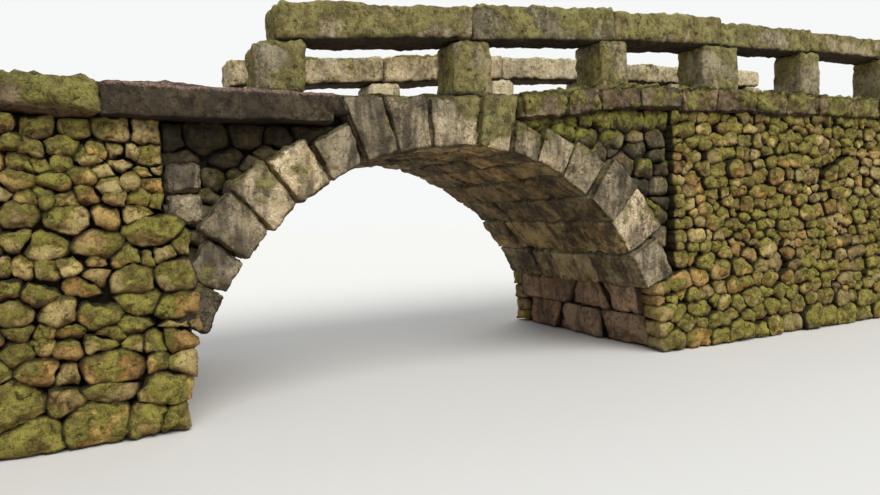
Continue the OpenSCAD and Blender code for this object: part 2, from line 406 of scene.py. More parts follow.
class Mason:
    """Cuts blocks and weathers them, the same way each run."""

    def __init__(self, seed: int) -> None:
        """Start the random draws and the noise from a seed."""
        self.rng = np.random.default_rng(seed)
        self.noise = Noise(seed)

    @staticmethod
    def rounded(grid: BlockGrid, corners: Array, radius: Array) -> tuple[Array, Array]:
        """Rounded blocks in unit coordinates.

        A point of the block's skin is drawn back to the core, which is the block less the radius on every
        side, and then stands one radius out from there, so that flats stay flat and edges and corners become
        round. It is as much of an edge as its direction from the core lies away from the axes.

        Args:
            grid: The skin's grid.
            corners: Corners of the blocks, of shape (n, 2, 2, 2, 3), by width, depth and height.
            radius: Radius of each block's edges.

        Returns:
            Unit coordinates of shape (n, points, 3), and how much of an edge each point is, from 0 to 1.
        """
        spans = [corners.take(1, axis=k + 1) - corners.take(0, axis=k + 1) for k in range(3)]
        half = 0.5 * np.stack([np.linalg.norm(s.mean(axis=(1, 2)), axis=-1) for s in spans], axis=-1)[:, None]
        reach = np.minimum(radius[:, None, None], 0.92 * half.min(axis=-1, keepdims=True))
        skin = grid.points[None] * half
        core = np.clip(skin, reach - half, half - reach)
        arm = skin - core
        arm /= np.linalg.norm(arm, axis=-1, keepdims=True)
        edge = (1.0 - np.abs(arm).max(axis=-1)) / (1.0 - 3.0**-0.5)
        return (core + reach * arm) / half, edge

    @staticmethod
    def between(corners: Array, unit: Array) -> Array:
        """Places in the blocks: the corners, weighted by the unit coordinates along all three axes.

        Args:
            corners: Corners of the blocks, of shape (n, 2, 2, 2, 3).
            unit: Unit coordinates of shape (n, points, 3).

        Returns:
            Places of shape (n, points, 3).
        """
        place = np.zeros_like(unit)
        for pick in itertools.product((0, 1), repeat=3):
            weight = np.prod(0.5 * (1.0 + unit * (2.0 * np.array(pick) - 1.0)), axis=-1)
            place += weight[..., None] * corners[:, pick[0], pick[1], pick[2]][:, None]
        return place

    def blocks(
        self,
        grid: BlockGrid,
        corners: Array,
        wear: Wear,
        setting: Setting = OPEN,
        tone: Tone | None = None,
    ) -> Skin:
        """Weathered blocks between given corners.

        Args:
            grid: Grid of each block's skin.
            corners: Corners of shape (n, 2, 2, 2, 3), by width, depth from the outer side, and height.
            wear: How the blocks have worn.
            setting: What their place does to them.
            tone: How light they are, or None for any lightness.

        Returns:
            The blocks' skins, joined.
        """
        count, size = len(corners), len(grid.points)
        stone = self.rng.random((count, 3))
        if tone is not None:
            stone[:, 1] = tone.value
        radius = wear.radius * (0.75 + 0.5 * stone[:, 0])
        unit, edge = self.rounded(grid, corners, radius)
        swell = (1.0 - unit[..., 0] ** 2) * (1.0 - unit[..., 2] ** 2) * (unit[..., 1] < 0)
        outer = corners[:, :, 0].mean(axis=(1, 2)) - corners[:, :, 1].mean(axis=(1, 2))
        outer /= np.linalg.norm(outer, axis=-1, keepdims=True)
        place = self.between(corners, unit) + wear.bulge * swell[..., None] * outer[:, None]
        edge = edge.ravel()
        # The edges darken towards the joints, as dirt and painted shade
        shade = wear.joint_dirt_and_shade * smooth(edge, 0.05, 0.7)
        return self.weathered(place.reshape(-1, 3), repeated(grid.faces, size, count),
                              np.repeat(stone, size, axis=0), edge, shade, wear, setting)

    def weathered(
        self,
        points: Array,
        faces: list[Array],
        stones: Array,
        edge: Array,
        shade: Array,
        wear: Wear,
        setting: Setting,
    ) -> Skin:
        """Stones' skins with their relief and moss.

        Each point moves along its normal by the dents, plus the roughness, less the chips where it is on an
        edge, plus the moss cushion. All but the last are noise at the point's place, shifted by its stone's
        random numbers. The dents are the greater of two noises, so that they meet in creases, as flakes do.
        Moss is thin where it is sheltered, and nothing reaches down under the bridge's foot. Faces that look
        down count as sheltered, and the finish paints shelter as shade.

        Args:
            points: Places on the plain stones.
            faces: Their faces.
            stones: The random numbers of each point's stone.
            edge: How much of an edge each point is.
            shade: How deep in a joint each point is, which the finish paints as shade.
            wear: How the stones have worn.
            setting: What their place does to them.

        Returns:
            The weathered skins.
        """
        faces = outward(points, faces)
        normal = point_normals(points, faces)
        # Where a joint lies open, its painted shade is taken off
        shade = shade * (1.0 - setting.bared(points))
        own = points + STONE_STRIDE * stones
        hollows = np.maximum(self.noise.at(own / wear.dent_size), self.noise.at(own / wear.dent_size + 5.3))
        push = 1.25 * wear.dent * (hollows - 0.3)
        push += wear.rough * self.noise.layered(own, wear.rough_size, 3, 0.6)
        push -= wear.chip * edge * np.clip(0.1 + self.noise.at(own / 0.11), 0.0, 1.5)
        points = points + normal * push[:, None]
        normal = point_normals(points, faces)
        # Faces that look down count as sheltered, which the finish paints as shade
        shelter = np.clip(setting.shelter(points) + 0.92 * smooth(-normal[:, 2], 0.12, 0.7), 0.0, 1.0)
        moss = self.mossed(points, normal, stones, wear.moss, setting.moss) * (1.0 - 0.85 * shelter)
        dirt = np.clip(setting.dirt(points), 0.0, 1.0)
        cushion = 0.3 + 1.3 * np.abs(self.noise.layered(points, wear.moss.cushion, 2))
        points = points + normal * (wear.moss.thickness * moss * cushion)[:, None]
        points[:, 2] = np.maximum(points[:, 2], 0.0)
        return Skin(points, faces, stones, dict(zip(Mark, (moss, shade, shelter, dirt))))

    def mossed(self, points: Array, normal: Array, stones: Array, rule: Mossing, zone: Zone) -> Array:
        """Moss cover: its level, plus its share for facing up, its zone, the stone's own share and patches."""
        value = rule.level + rule.facing * normal[:, 2] + zone(points) + 0.25 * (stones[:, 2] - 0.5)
        return smooth(value + rule.patch * self.noise.layered(points, 0.34, 4, 0.7), 0.15, 0.85)


class CadNode:
    """The welded points and triangles of a CAD node."""

    def __init__(self, name: str) -> None:
        """Read the node's mesh and weld its loose triangles.

        Args:
            name: The node's name.
        """
        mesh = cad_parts[name].data
        place = np.empty(3 * len(mesh.vertices))
        mesh.vertices.foreach_get("co", place)
        corner = np.empty(len(mesh.loops), dtype=np.int64)
        mesh.loops.foreach_get("vertex_index", corner)
        self.points, weld = np.unique(np.round(place.reshape(-1, 3), 5), axis=0, return_inverse=True)
        self.triangles = weld.reshape(-1)[corner].reshape(-1, 3)

    def solids(self) -> list[Array]:
        """The points of each solid: the lowest label spreads over each triangle until nothing changes.

        Returns:
            One array of points a solid, in order of their middles' X, then Y.
        """
        label = np.arange(len(self.points))
        while True:
            spread = label.copy()
            np.minimum.at(spread, self.triangles.ravel(), np.repeat(label[self.triangles].min(axis=1), 3))
            if (spread == label).all():
                break
            label = spread
        found = [self.points[label == k] for k in np.unique(label)]
        return sorted(found, key=lambda p: tuple(np.round((p.min(axis=0) + p.max(axis=0)) / 2, 3)))

    def drawn_in(self, insets: dict[tuple[int, int], float]) -> Skin:
        """The node's own form with its box drawn in, as the packing behind a face of stones, painted in shade.

        Args:
            insets: How far the sides of the box move in, by their axis and sign, for those that do.

        Returns:
            A closed skin, all of it painted shade.
        """
        low, high = self.points.min(axis=0), self.points.max(axis=0)
        at_low, at_high = (np.array([insets.get((a, sign), 0.0) for a in (X, Y, Z)]) for sign in (-1, 1))
        scale = (high - low - at_high - at_low) / (high - low)
        return Skin.plain(low + at_low + (self.points - low) * scale, [self.triangles], shade=1.0)


def outline(points: Array) -> Array:
    """The convex outline of a solid in the XZ plane, without points on straight stretches.

    Args:
        points: Places, of shape (n, 3).

    Returns:
        The corners of shape (m, 2), anticlockwise.
    """
    flat = sorted(set(map(tuple, np.round(points[:, [0, 2]], 5))))
    chain: list[tuple[float, float]] = []
    for run in (flat, flat[::-1]):
        start = len(chain)
        for p in run:
            while len(chain) - start >= 2:
                (ax, az), (bx, bz) = chain[-2], chain[-1]
                if (bx - ax) * (p[1] - az) - (bz - az) * (p[0] - ax) > 2e-6:
                    break
                chain.pop()
            chain.append(p)
        chain.pop()
    return np.array(chain)


def prism_corners(flat: Array, depth: tuple[float, float]) -> Array:
    """Corners of a block whose outline lies in the XZ plane.

    Args:
        flat: Outline corners of shape (2, 2, 2): by width and height, as X and Z.
        depth: Y of the outer side and of the inner side.

    Returns:
        Corners of shape (2, 2, 2, 3), by width, depth and height.
    """
    corners = np.empty((2, 2, 2, 3))
    for side in (0, 1):
        corners[:, side, :, 0] = flat[..., 0]
        corners[:, side, :, 1] = depth[side]
        corners[:, side, :, 2] = flat[..., 1]
    return corners


def depth_of(solid: Array, face: Face) -> tuple[float, float]:
    """Y of a solid's outer side and of its inner side, on one face of the bridge."""
    reach = np.abs(solid[:, 1])
    return face.value * reach.max(), face.value * reach.min()


def by_width_and_height(flat: Array) -> Array:
    """The four outline corners of a slab, as lower and upper ones from left to right."""
    sides = np.split(flat[np.argsort(flat[:, 0])], 2)
    return np.array([side[np.argsort(side[:, 1])] for side in sides])


class Wiring:
    """Short ways to add nodes to a shader tree."""

    def __init__(self, tree: bpy.types.NodeTree) -> None:
        """Work on one tree."""
        self.tree = tree

    def node(self, kind: str, inputs: Inputs | None = None, **settings: object) -> bpy.types.Node:
        """A new node, whose settings are made before its inputs are fed.

        Args:
            kind: The node's type.
            inputs: What goes into its inputs, by their names or places.
            settings: Its other settings.

        Returns:
            The node.
        """
        node = self.tree.nodes.new(kind)
        for key, value in settings.items():
            setattr(node, key, value)
        for key, value in (inputs or {}).items():
            self.feed(node.inputs[key], value)
        return node

    def feed(self, socket: Socket, value: Value) -> None:
        """Link another socket to this one, or set it to a constant.

        Args:
            socket: The input.
            value: An output, a number, a vector or a colour.
        """
        if isinstance(value, bpy.types.NodeSocket):
            self.tree.links.new(value, socket)
        elif hasattr(value, "__len__") and socket.type == "RGBA":
            socket.default_value = (*value, 1.0)
        else:
            socket.default_value = value

    def math(self, operation: str, a: Value, b: Value) -> Socket:
        """A math node's value."""
        return self.node("ShaderNodeMath", {0: a, 1: b}, operation=operation).outputs[0]

    def times(self, a: Value, b: Value) -> Socket:
        """The product of two values."""
        return self.math("MULTIPLY", a, b)

    def total(self, *terms: tuple[Value, float], start: float = 0.0) -> Socket:
        """A sum of values, each times its weight.

        Args:
            terms: The values with their weights.
            start: What the sum starts from.

        Returns:
            The sum.
        """
        level: Value = start
        for value, weight in terms:
            inputs = {0: value, 1: weight, 2: level}
            level = self.node("ShaderNodeMath", inputs, operation="MULTIPLY_ADD").outputs[0]
        return level

    def vector(self, operation: str, a: Value, b: Value) -> Socket:
        """A vector math node's vector."""
        return self.node("ShaderNodeVectorMath", {0: a, 1: b}, operation=operation).outputs[0]

    def scaled(self, a: Value, factor: Value) -> Socket:
        """A vector or colour times a number."""
        return self.node("ShaderNodeVectorMath", {0: a, "Scale": factor}, operation="SCALE").outputs[0]

    def mix(self, factor: Value, a: Value, b: Value, blend: str = "MIX") -> Socket:
        """Two colours, mixed by a factor that is kept between 0 and 1."""
        settings = {"data_type": "RGBA", "blend_type": blend, "clamp_factor": True}
        return self.node("ShaderNodeMix", {0: factor, 6: a, 7: b}, **settings).outputs[2]

    def noise(self, place: Value, scale: float, detail: float, rough: float, distortion: float = 0.0) -> Socket:
        """Noise from 0 to 1, with scale features a metre."""
        inputs = {"Vector": place, "Scale": scale, "Detail": detail, "Roughness": rough,
                  "Distortion": distortion}
        return self.node("ShaderNodeTexNoise", inputs).outputs["Fac"]

    def scatter(self, place: Value, scale: float) -> Socket:
        """Distance to the nearest of scattered points, with scale points a metre."""
        inputs = {"Vector": place, "Scale": scale}
        return self.node("ShaderNodeTexVoronoi", inputs, feature="F1").outputs["Distance"]

    def step(self, value: Value, low: float, high: float, top: float = 1.0) -> Socket:
        """A smooth step from 0 at low to top at high."""
        inputs = {"Value": value, "From Min": low, "From Max": high, "To Max": top}
        return self.node("ShaderNodeMapRange", inputs, interpolation_type="SMOOTHSTEP").outputs[0]

    def attribute(self, name: str, output: str = "Fac") -> Socket:
        """What is stored at each point under a name."""
        return self.node("ShaderNodeAttribute", attribute_name=name).outputs[output]

    def effect(self, group: bpy.types.NodeTree, **values: Value) -> Sockets:
        """The outputs of a shared effect, whose inputs are fed by name."""
        return self.node("ShaderNodeGroup", values, node_tree=group).outputs

    def dress(
        self, shader: bpy.types.Node, colour: Socket, roughness: Socket, height: Socket, relief: float
    ) -> None:
        """Feed a shader its colour, its roughness and a bump.

        Args:
            shader: The Principled BSDF.
            colour: Its base colour.
            roughness: Its roughness.
            height: Height of the fine relief, from 0 to about 1.
            relief: How many metres a height of 1 stands for.
        """
        bump = self.node("ShaderNodeBump", {"Strength": BUMP_STRENGTH, "Distance": relief, "Height": height})
        self.feed(shader.inputs["Base Color"], colour)
        self.feed(shader.inputs["Roughness"], roughness)
        self.feed(shader.inputs["Normal"], bump.outputs["Normal"])


class Effect(Wiring):
    """A shared effect: a shader node group with named inputs and outputs."""

    SOCKETS = {"v": "NodeSocketVector", "f": "NodeSocketFloat", "c": "NodeSocketColor"}

    def __init__(self, name: str, inputs: str, outputs: str) -> None:
        """Make the group and its sockets.

        Args:
            name: The group's name.
            inputs: Its inputs, such as "v:Vector f:Amount" for a vector and a number.
            outputs: Its outputs, in the same form.
        """
        super().__init__(bpy.data.node_groups.new(name, "ShaderNodeTree"))
        for way, words in (("INPUT", inputs), ("OUTPUT", outputs)):
            for kind, label in (word.split(":") for word in words.split()):
                self.tree.interface.new_socket(name=label, in_out=way, socket_type=self.SOCKETS[kind])
        self.given = self.node("NodeGroupInput").outputs
        self.wanted = self.node("NodeGroupOutput").inputs

    def put(self, **values: Value) -> bpy.types.NodeTree:
        """Feed the group's outputs by name, and hand the group over."""
        for name, value in values.items():
            self.feed(self.wanted[name], value)
        return self.tree


def grain_effect() -> bpy.types.NodeTree:
    """Granite grain: fine speckle of light and dark crystals, coarser mottling, and pits.

    Returns:
        The node group.
    """
    w = Effect("granite_grain", "v:Vector", "f:Speckle f:Mottle f:Pits f:Height")
    place = w.given["Vector"]
    speckle = w.noise(place, 140.0, 3.0, 0.7)
    mottle = w.total((w.noise(place, 6.0, 4.0, 0.66, 0.3), 0.5), (w.noise(place, 24.0, 7.0, 0.76, 0.4), 0.58))
    pits = w.step(w.noise(place, 40.0, 5.0, 0.68, 0.3), 0.57, 0.68)
    height = w.total((mottle, 0.75), (speckle, 0.22), (pits, -0.3))
    return w.put(Speckle=speckle, Mottle=mottle, Pits=pits, Height=height)


def lichen_effect() -> bpy.types.NodeTree:
    """Crusts of pale lichen: ragged spots of two sizes, gathered in some stretches and scarce in others.

    Returns:
        The node group.
    """
    w = Effect("lichen_crust", "v:Vector f:Amount", "f:Mask f:Height")
    place = w.given["Vector"]
    stretch = w.noise(place, 3.2, 2.0, 0.55)
    ragged = w.noise(place, 26.0, 6.0, 0.72, 0.6)
    fine = w.noise(place, 75.0, 3.0, 0.7)
    level = w.total((stretch, 0.35), (ragged, 0.75), (w.given["Amount"], 0.35))
    mask = w.times(w.step(level, 0.69, 0.80), w.step(fine, 0.30, 0.60))
    return w.put(Mask=mask, Height=w.times(mask, 0.25))


def moss_effect() -> bpy.types.NodeTree:
    """Moss: a cover with frayed edges, cushions of several greens and browns with painted shade in the hollows
    between tufts, and the height of its tufts.

    Returns:
        The node group.
    """
    w = Effect("moss_cushion", "v:Vector f:Cover c:Fresh c:Old", "f:Mask c:Color f:Height")
    place = w.given["Vector"]
    patch = w.noise(place, 5.5, 4.0, 0.65, 0.5)
    fray = w.noise(place, 26.0, 7.0, 0.78, 0.3)
    lump = w.noise(w.vector("ADD", place, (3.1, 5.7, 1.9)), 19.0, 6.0, 0.74, 0.3)
    tuft = w.noise(place, 95.0, 4.0, 0.8)
    dry = w.noise(place, 12.0, 4.0, 0.7, 0.3)
    cover = w.total((w.given["Cover"], 1.0), (fray, 1.7), (patch, 0.7), start=-1.2)
    tone = w.total((patch, 0.45), (lump, 0.55), (tuft, 0.4))
    colour = w.mix(w.step(tone, 0.6, 0.8), w.given["Old"], w.given["Fresh"])
    colour = w.mix(w.step(dry, 0.5, 0.66, 0.75), colour, MOSS_DRY)
    # Painted shade where the tufts and lumps are low
    hollow_shade = w.math("ADD", w.step(tuft, 0.48, 0.34, 0.5), w.step(lump, 0.47, 0.33, 0.8))
    colour = w.mix(hollow_shade, colour, MOSS_HOLLOW_SHADE)
    height = w.times(w.total((tuft, 1.0), (lump, 1.6)), w.step(cover, 0.15, 1.1))
    return w.put(Mask=w.step(cover, 0.26, 0.66), Color=colour, Height=height)


def damp_effect() -> bpy.types.NodeTree:
    """Damp streaks: noise drawn out downwards, with softer blotches.

    Returns:
        The node group.
    """
    w = Effect("damp_streaks", "v:Vector f:Amount", "f:Mask")
    streak = w.noise(w.vector("MULTIPLY", w.given["Vector"], (9.0, 9.0, 1.4)), 1.0, 5.0, 0.6, 0.4)
    blotch = w.noise(w.given["Vector"], 2.6, 4.0, 0.6)
    level = w.total((streak, 0.55), (blotch, 0.5))
    return w.put(Mask=w.times(w.step(level, 0.455, 0.62), w.given["Amount"]))


def new_material(name: str, specular: float) -> tuple[bpy.types.Material, Wiring, bpy.types.Node]:
    """A material with a plain specular level.

    Args:
        name: The material's name.
        specular: Its shader's specular level.

    Returns:
        The material, the wiring of its tree and its shader.
    """
    material = bpy.data.materials.new(name)
    material.use_nodes = True
    shader = material.node_tree.nodes["Principled BSDF"]
    shader.inputs["Specular IOR Level"].default_value = specular
    return material, Wiring(material.node_tree), shader


def toned(colour: Colour, factor: float, more: float = 0.0) -> Colour:
    """A colour times a factor and plus a little more, at most 1."""
    return tuple(min(1.0, factor * c + more) for c in colour)


@dataclass(frozen=True)
class StoneFinish:
    """Weathered granite, with lichen, damp streaks and moss.

    Attributes:
        pale: Colour of the lightest crystals and faces.
        middle: Colour of the mass of the stone.
        dark: Colour of its darkest mottling.
        rust: Colour that some stones lean towards.
        lichen: Share of pale lichen, from 0 to 1.
        damp: Strength of the damp streaks.
        fresh_moss: Colour of young moss, and old_moss that of old.
        film: What a thin green film does to the colour, near moss.
        shelter_damp_and_shade: What shelter does to the colour: browner with damp, and darker as painted shade.
        bump: Height of the fine relief, in metres.
    """

    pale: Colour
    middle: Colour
    dark: Colour
    rust: Colour
    lichen: float
    damp: float
    fresh_moss: Colour
    old_moss: Colour
    film: Colour = (0.92, 0.97, 0.55)
    shelter_damp_and_shade: Colour = (0.78, 0.69, 0.5)
    bump: float = 0.024

    def bare(self, w: Wiring, grain: Sockets, numbers: Sockets) -> Socket:
        """Colour of the clean stone: mottled, rusty on some stones, and speckled with crystals.

        Args:
            w: The wiring of the material.
            grain: Outputs of the granite's grain.
            numbers: The stone's random numbers.

        Returns:
            The colour.
        """
        mottle = w.total((grain["Mottle"], 1.0), (numbers[0], 0.1), start=-0.05)
        colour = w.mix(w.step(mottle, 0.40, 0.50), self.dark, self.middle)
        colour = w.mix(w.step(mottle, 0.49, 0.61), colour, self.pale)
        colour = w.mix(w.step(numbers[2], 0.35, 1.0, 0.7), colour, self.rust, "MULTIPLY")
        colour = w.mix(w.step(grain["Speckle"], 0.5, 0.34, 0.6), colour, self.dark)
        return w.mix(w.step(grain["Speckle"], 0.55, 0.68, 0.35), colour, self.pale)

    def material(self, name: str, effects: dict[str, bpy.types.NodeTree]) -> bpy.types.Material:
        """The finish as a material.

        The clean stone comes first, then over it a green film, lichen, damp, pits, the stone's own lightness,
        moss, shelter with its painted shade, spilt earth and the painted shade of the joints, in that order.

        Args:
            name: The material's name.
            effects: The shared node groups by name.

        Returns:
            The new material.
        """
        material, w, shader = new_material(name, specular=0.3)
        stone = w.attribute("stone", "Vector")
        numbers = w.node("ShaderNodeSeparateXYZ", {0: stone}).outputs
        moss, shade, shelter, dirt = (w.attribute(mark.value) for mark in Mark)
        own = w.vector("ADD", w.node("ShaderNodeTexCoord").outputs["Object"], w.scaled(stone, 9.0))
        grain = w.effect(effects["granite_grain"], Vector=own)
        lichen = w.effect(effects["lichen_crust"], Vector=own, Amount=self.lichen)
        damp = w.effect(effects["damp_streaks"], Vector=own, Amount=self.damp)["Mask"]
        green = w.effect(effects["moss_cushion"], Vector=own, Cover=moss, Fresh=self.fresh_moss,
                         Old=self.old_moss)
        film = w.total((moss, 1.6), (grain["Mottle"], 0.5))
        colour = w.mix(w.step(film, 0.2, 0.75, 0.8), self.bare(w, grain, numbers), self.film, "MULTIPLY")
        crust = w.times(lichen["Mask"], w.math("SUBTRACT", 1.0, shelter))
        colour = w.mix(crust, colour, toned(self.pale, 1.12, 0.03))
        colour = w.mix(damp, colour, toned(self.dark, 0.6))
        colour = w.mix(w.times(grain["Pits"], 0.7), colour, toned(self.dark, 0.4))
        colour = w.scaled(colour, w.total((numbers[1], 0.56), start=0.68))
        colour = w.mix(green["Mask"], colour, green["Color"])
        # Painted shade, with damp browning, where sheltered
        colour = w.mix(shelter, colour, self.shelter_damp_and_shade, "MULTIPLY")
        spill = w.total((dirt, 1.0), (grain["Mottle"], 1.3), start=-0.65)
        earth = w.mix(w.step(grain["Speckle"], 0.42, 0.58), EARTH_DARK, EARTH_PALE)
        colour = w.mix(w.times(w.step(spill, 0.3, 0.6), w.step(dirt, 0.02, 0.2)), colour, earth)
        # Painted shade: deep in the joints and in the packing, the colour goes to near black
        colour = w.mix(w.times(shade, 0.95), colour, PAINTED_JOINT_SHADE)
        rough = w.total((grain["Mottle"], 0.12), (damp, -0.16), (green["Mask"], 0.12), start=0.78)
        height = w.total((grain["Height"], 1.0), (lichen["Height"], 1.0), (green["Height"], 1.0))
        w.dress(shader, colour, rough, height, self.bump)
        return material


@dataclass(frozen=True)
class EarthFinish:
    """Trodden earth with grit, peaty crumbs and thin moss.

    Attributes:
        earth: Colour of the bare earth.
        dust: Colour of its dry, worn stretches.
        crumbs: Colour of the peaty crumbs.
        moss: Colour of the moss at its sides.
        bump: Height of the fine relief, in metres.
    """

    earth: Colour
    dust: Colour
    crumbs: Colour
    moss: Colour
    bump: float = 0.014

    def material(self, name: str, effects: dict[str, bpy.types.NodeTree]) -> bpy.types.Material:
        """The finish as a material.

        Args:
            name: The material's name.
            effects: The shared node groups by name.

        Returns:
            The new material.
        """
        material, w, shader = new_material(name, specular=0.2)
        place = w.node("ShaderNodeTexCoord").outputs["Object"]
        moss, shade = (w.attribute(mark.value) for mark in (Mark.MOSS, Mark.SHADE))
        grain = w.effect(effects["granite_grain"], Vector=place)
        green = w.effect(effects["moss_cushion"], Vector=place, Cover=moss, Fresh=self.moss,
                         Old=toned(self.moss, 0.5))
        spots = w.scatter(w.vector("MULTIPLY", place, (1.0, 0.7, 1.0)), 34.0)
        colour = w.mix(w.step(grain["Mottle"], 0.38, 0.62), self.earth, self.dust)
        colour = w.mix(w.step(spots, 0.34, 0.22, 0.8), colour, self.crumbs)
        colour = w.mix(w.times(grain["Pits"], 0.8), colour, toned(self.earth, 0.3))
        colour = w.mix(green["Mask"], colour, green["Color"])
        # Painted shade at the road's rim
        colour = w.mix(shade, colour, PAINTED_JOINT_SHADE)
        rough = w.total((grain["Mottle"], 0.12), start=0.86)
        height = w.total((grain["Height"], 1.0), (w.step(spots, 0.5, 0.1), 0.7), (green["Height"], 1.0))
        w.dress(shader, colour, rough, height, self.bump)
        return material


class Slot(Enum):
    """The material slots."""

    RING = "ring_granite"
    PIER = "pier_stone"
    SPANDREL = "spandrel_stone"
    WALL = "wall_rubble"
    EDGE = "edge_granite"
    MOSSY = "mossy_granite"
    HEARTING = "hearting"
    ROAD = "road_earth"


RING_STONE = StoneFinish(
    pale=(0.62, 0.51, 0.335), middle=(0.325, 0.258, 0.145), dark=(0.065, 0.047, 0.026),
    rust=(1.0, 0.86, 0.72), lichen=0.65, damp=0.8, fresh_moss=(0.52, 0.47, 0.17), old_moss=(0.24, 0.205, 0.08),
)
FINISHES = {
    Slot.RING: RING_STONE,
    Slot.PIER: replace(
        RING_STONE, pale=(0.60, 0.43, 0.30), middle=(0.34, 0.23, 0.155), dark=(0.075, 0.048, 0.032),
        rust=(1.0, 0.76, 0.6), lichen=0.1, damp=0.6, fresh_moss=(0.22, 0.18, 0.05),
        old_moss=(0.09, 0.07, 0.024)),
    # The spandrels' dark gloom is painted shade: under the left edge slab and on undersides
    Slot.SPANDREL: replace(
        RING_STONE, pale=(0.36, 0.29, 0.16), middle=(0.16, 0.125, 0.062), dark=(0.045, 0.035, 0.018),
        lichen=0.3, damp=0.7, fresh_moss=(0.52, 0.5, 0.1), old_moss=(0.16, 0.145, 0.035),
        shelter_damp_and_shade=(0.22, 0.2, 0.13)),
    Slot.WALL: replace(
        RING_STONE, pale=(0.68, 0.54, 0.235), middle=(0.42, 0.295, 0.11), dark=(0.095, 0.063, 0.025),
        rust=(1.0, 0.7, 0.44), lichen=0.2, damp=0.35, fresh_moss=(0.60, 0.54, 0.115),
        old_moss=(0.27, 0.22, 0.05), shelter_damp_and_shade=(0.34, 0.24, 0.15)),
    Slot.EDGE: replace(
        RING_STONE, pale=(0.45, 0.345, 0.21), middle=(0.22, 0.16, 0.088), dark=(0.055, 0.038, 0.022),
        lichen=0.3, damp=0.5, fresh_moss=(0.52, 0.48, 0.13), old_moss=(0.18, 0.15, 0.04),
        shelter_damp_and_shade=(0.3, 0.22, 0.16)),
    # The mossy granite's near black gloom is painted shade on the undersides of the beams and posts
    Slot.MOSSY: replace(
        RING_STONE, pale=(0.58, 0.50, 0.33), middle=(0.31, 0.255, 0.14), dark=(0.08, 0.063, 0.032),
        lichen=0.45, damp=0.5, fresh_moss=(0.56, 0.50, 0.18), old_moss=(0.26, 0.22, 0.08),
        shelter_damp_and_shade=(0.05, 0.04, 0.035)),
    Slot.HEARTING: replace(
        RING_STONE, pale=(0.52, 0.41, 0.2), middle=(0.31, 0.225, 0.1), dark=(0.08, 0.055, 0.025), lichen=0.2,
        damp=0.6, fresh_moss=(0.46, 0.42, 0.1), old_moss=(0.21, 0.175, 0.042)),
    Slot.ROAD: EarthFinish(
        earth=(0.16, 0.105, 0.075), dust=(0.36, 0.25, 0.19), crumbs=(0.24, 0.135, 0.09),
        moss=(0.22, 0.2, 0.05)),
}


def in_scene(name: str, data: bpy.types.ID) -> bpy.types.Object:
    """A new object with its data, linked to the scene."""
    item = bpy.data.objects.new(name, data)
    bpy.context.scene.collection.objects.link(item)
    return item


class Yard:
    """Where finished pieces are put together: it makes the materials once and sets up each piece."""

    def __init__(self) -> None:
        """Build the shared effects and a material for each slot."""
        trees = (grain_effect(), lichen_effect(), moss_effect(), damp_effect())
        effects = {tree.name: tree for tree in trees}
        self.materials = {slot: finish.material(slot.value, effects) for slot, finish in FINISHES.items()}
        self.triangles = 0

    @staticmethod
    def mesh(name: str, skin: Skin) -> bpy.types.Mesh:
        """A skin as a smooth mesh, with what its finish reads stored at its points.

        Args:
            name: The mesh's name.
            skin: The surface.

        Returns:
            The new mesh.
        """
        mesh = bpy.data.meshes.new(name)
        sizes = np.concatenate([np.full(len(f), f.shape[1]) for f in skin.faces]).astype(np.int32)
        corners = np.concatenate([f.ravel() for f in skin.faces]).astype(np.int32)
        mesh.vertices.add(len(skin.points))
        mesh.vertices.foreach_set("co", skin.points.astype(np.float32).ravel())
        mesh.loops.add(len(corners))
        mesh.loops.foreach_set("vertex_index", corners)
        mesh.polygons.add(len(sizes))
        mesh.polygons.foreach_set("loop_start", np.cumsum(sizes) - sizes)
        mesh.polygons.foreach_set("use_smooth", np.ones(len(sizes), dtype=bool))
        mesh.update(calc_edges=True)
        stone = mesh.attributes.new("stone", "FLOAT_VECTOR", "POINT")
        stone.data.foreach_set("vector", skin.stone.astype(np.float32).ravel())
        for mark, values in skin.marks.items():
            attribute = mesh.attributes.new(mark.value, "FLOAT", "POINT")
            attribute.data.foreach_set("value", values.astype(np.float32))
        return mesh

    def place(self, name: str, skin: Skin, slot: Slot, *nodes: str) -> None:
        """Make a piece of the bridge from a skin.

        Args:
            name: The piece's name.
            skin: Its surface.
            slot: The material slot that it takes its finish from.
            nodes: The CAD nodes that it stands for.
        """
        mesh = self.mesh(name, skin)
        mesh.materials.append(self.materials[slot])
        piece = in_scene(name, mesh)
        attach(piece, ROOT)
        if nodes:
            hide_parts(*nodes)
        self.triangles += skin.triangles()
        log.info("%s: %d triangles, for %s", name, skin.triangles(), ", ".join(nodes) or "no node")


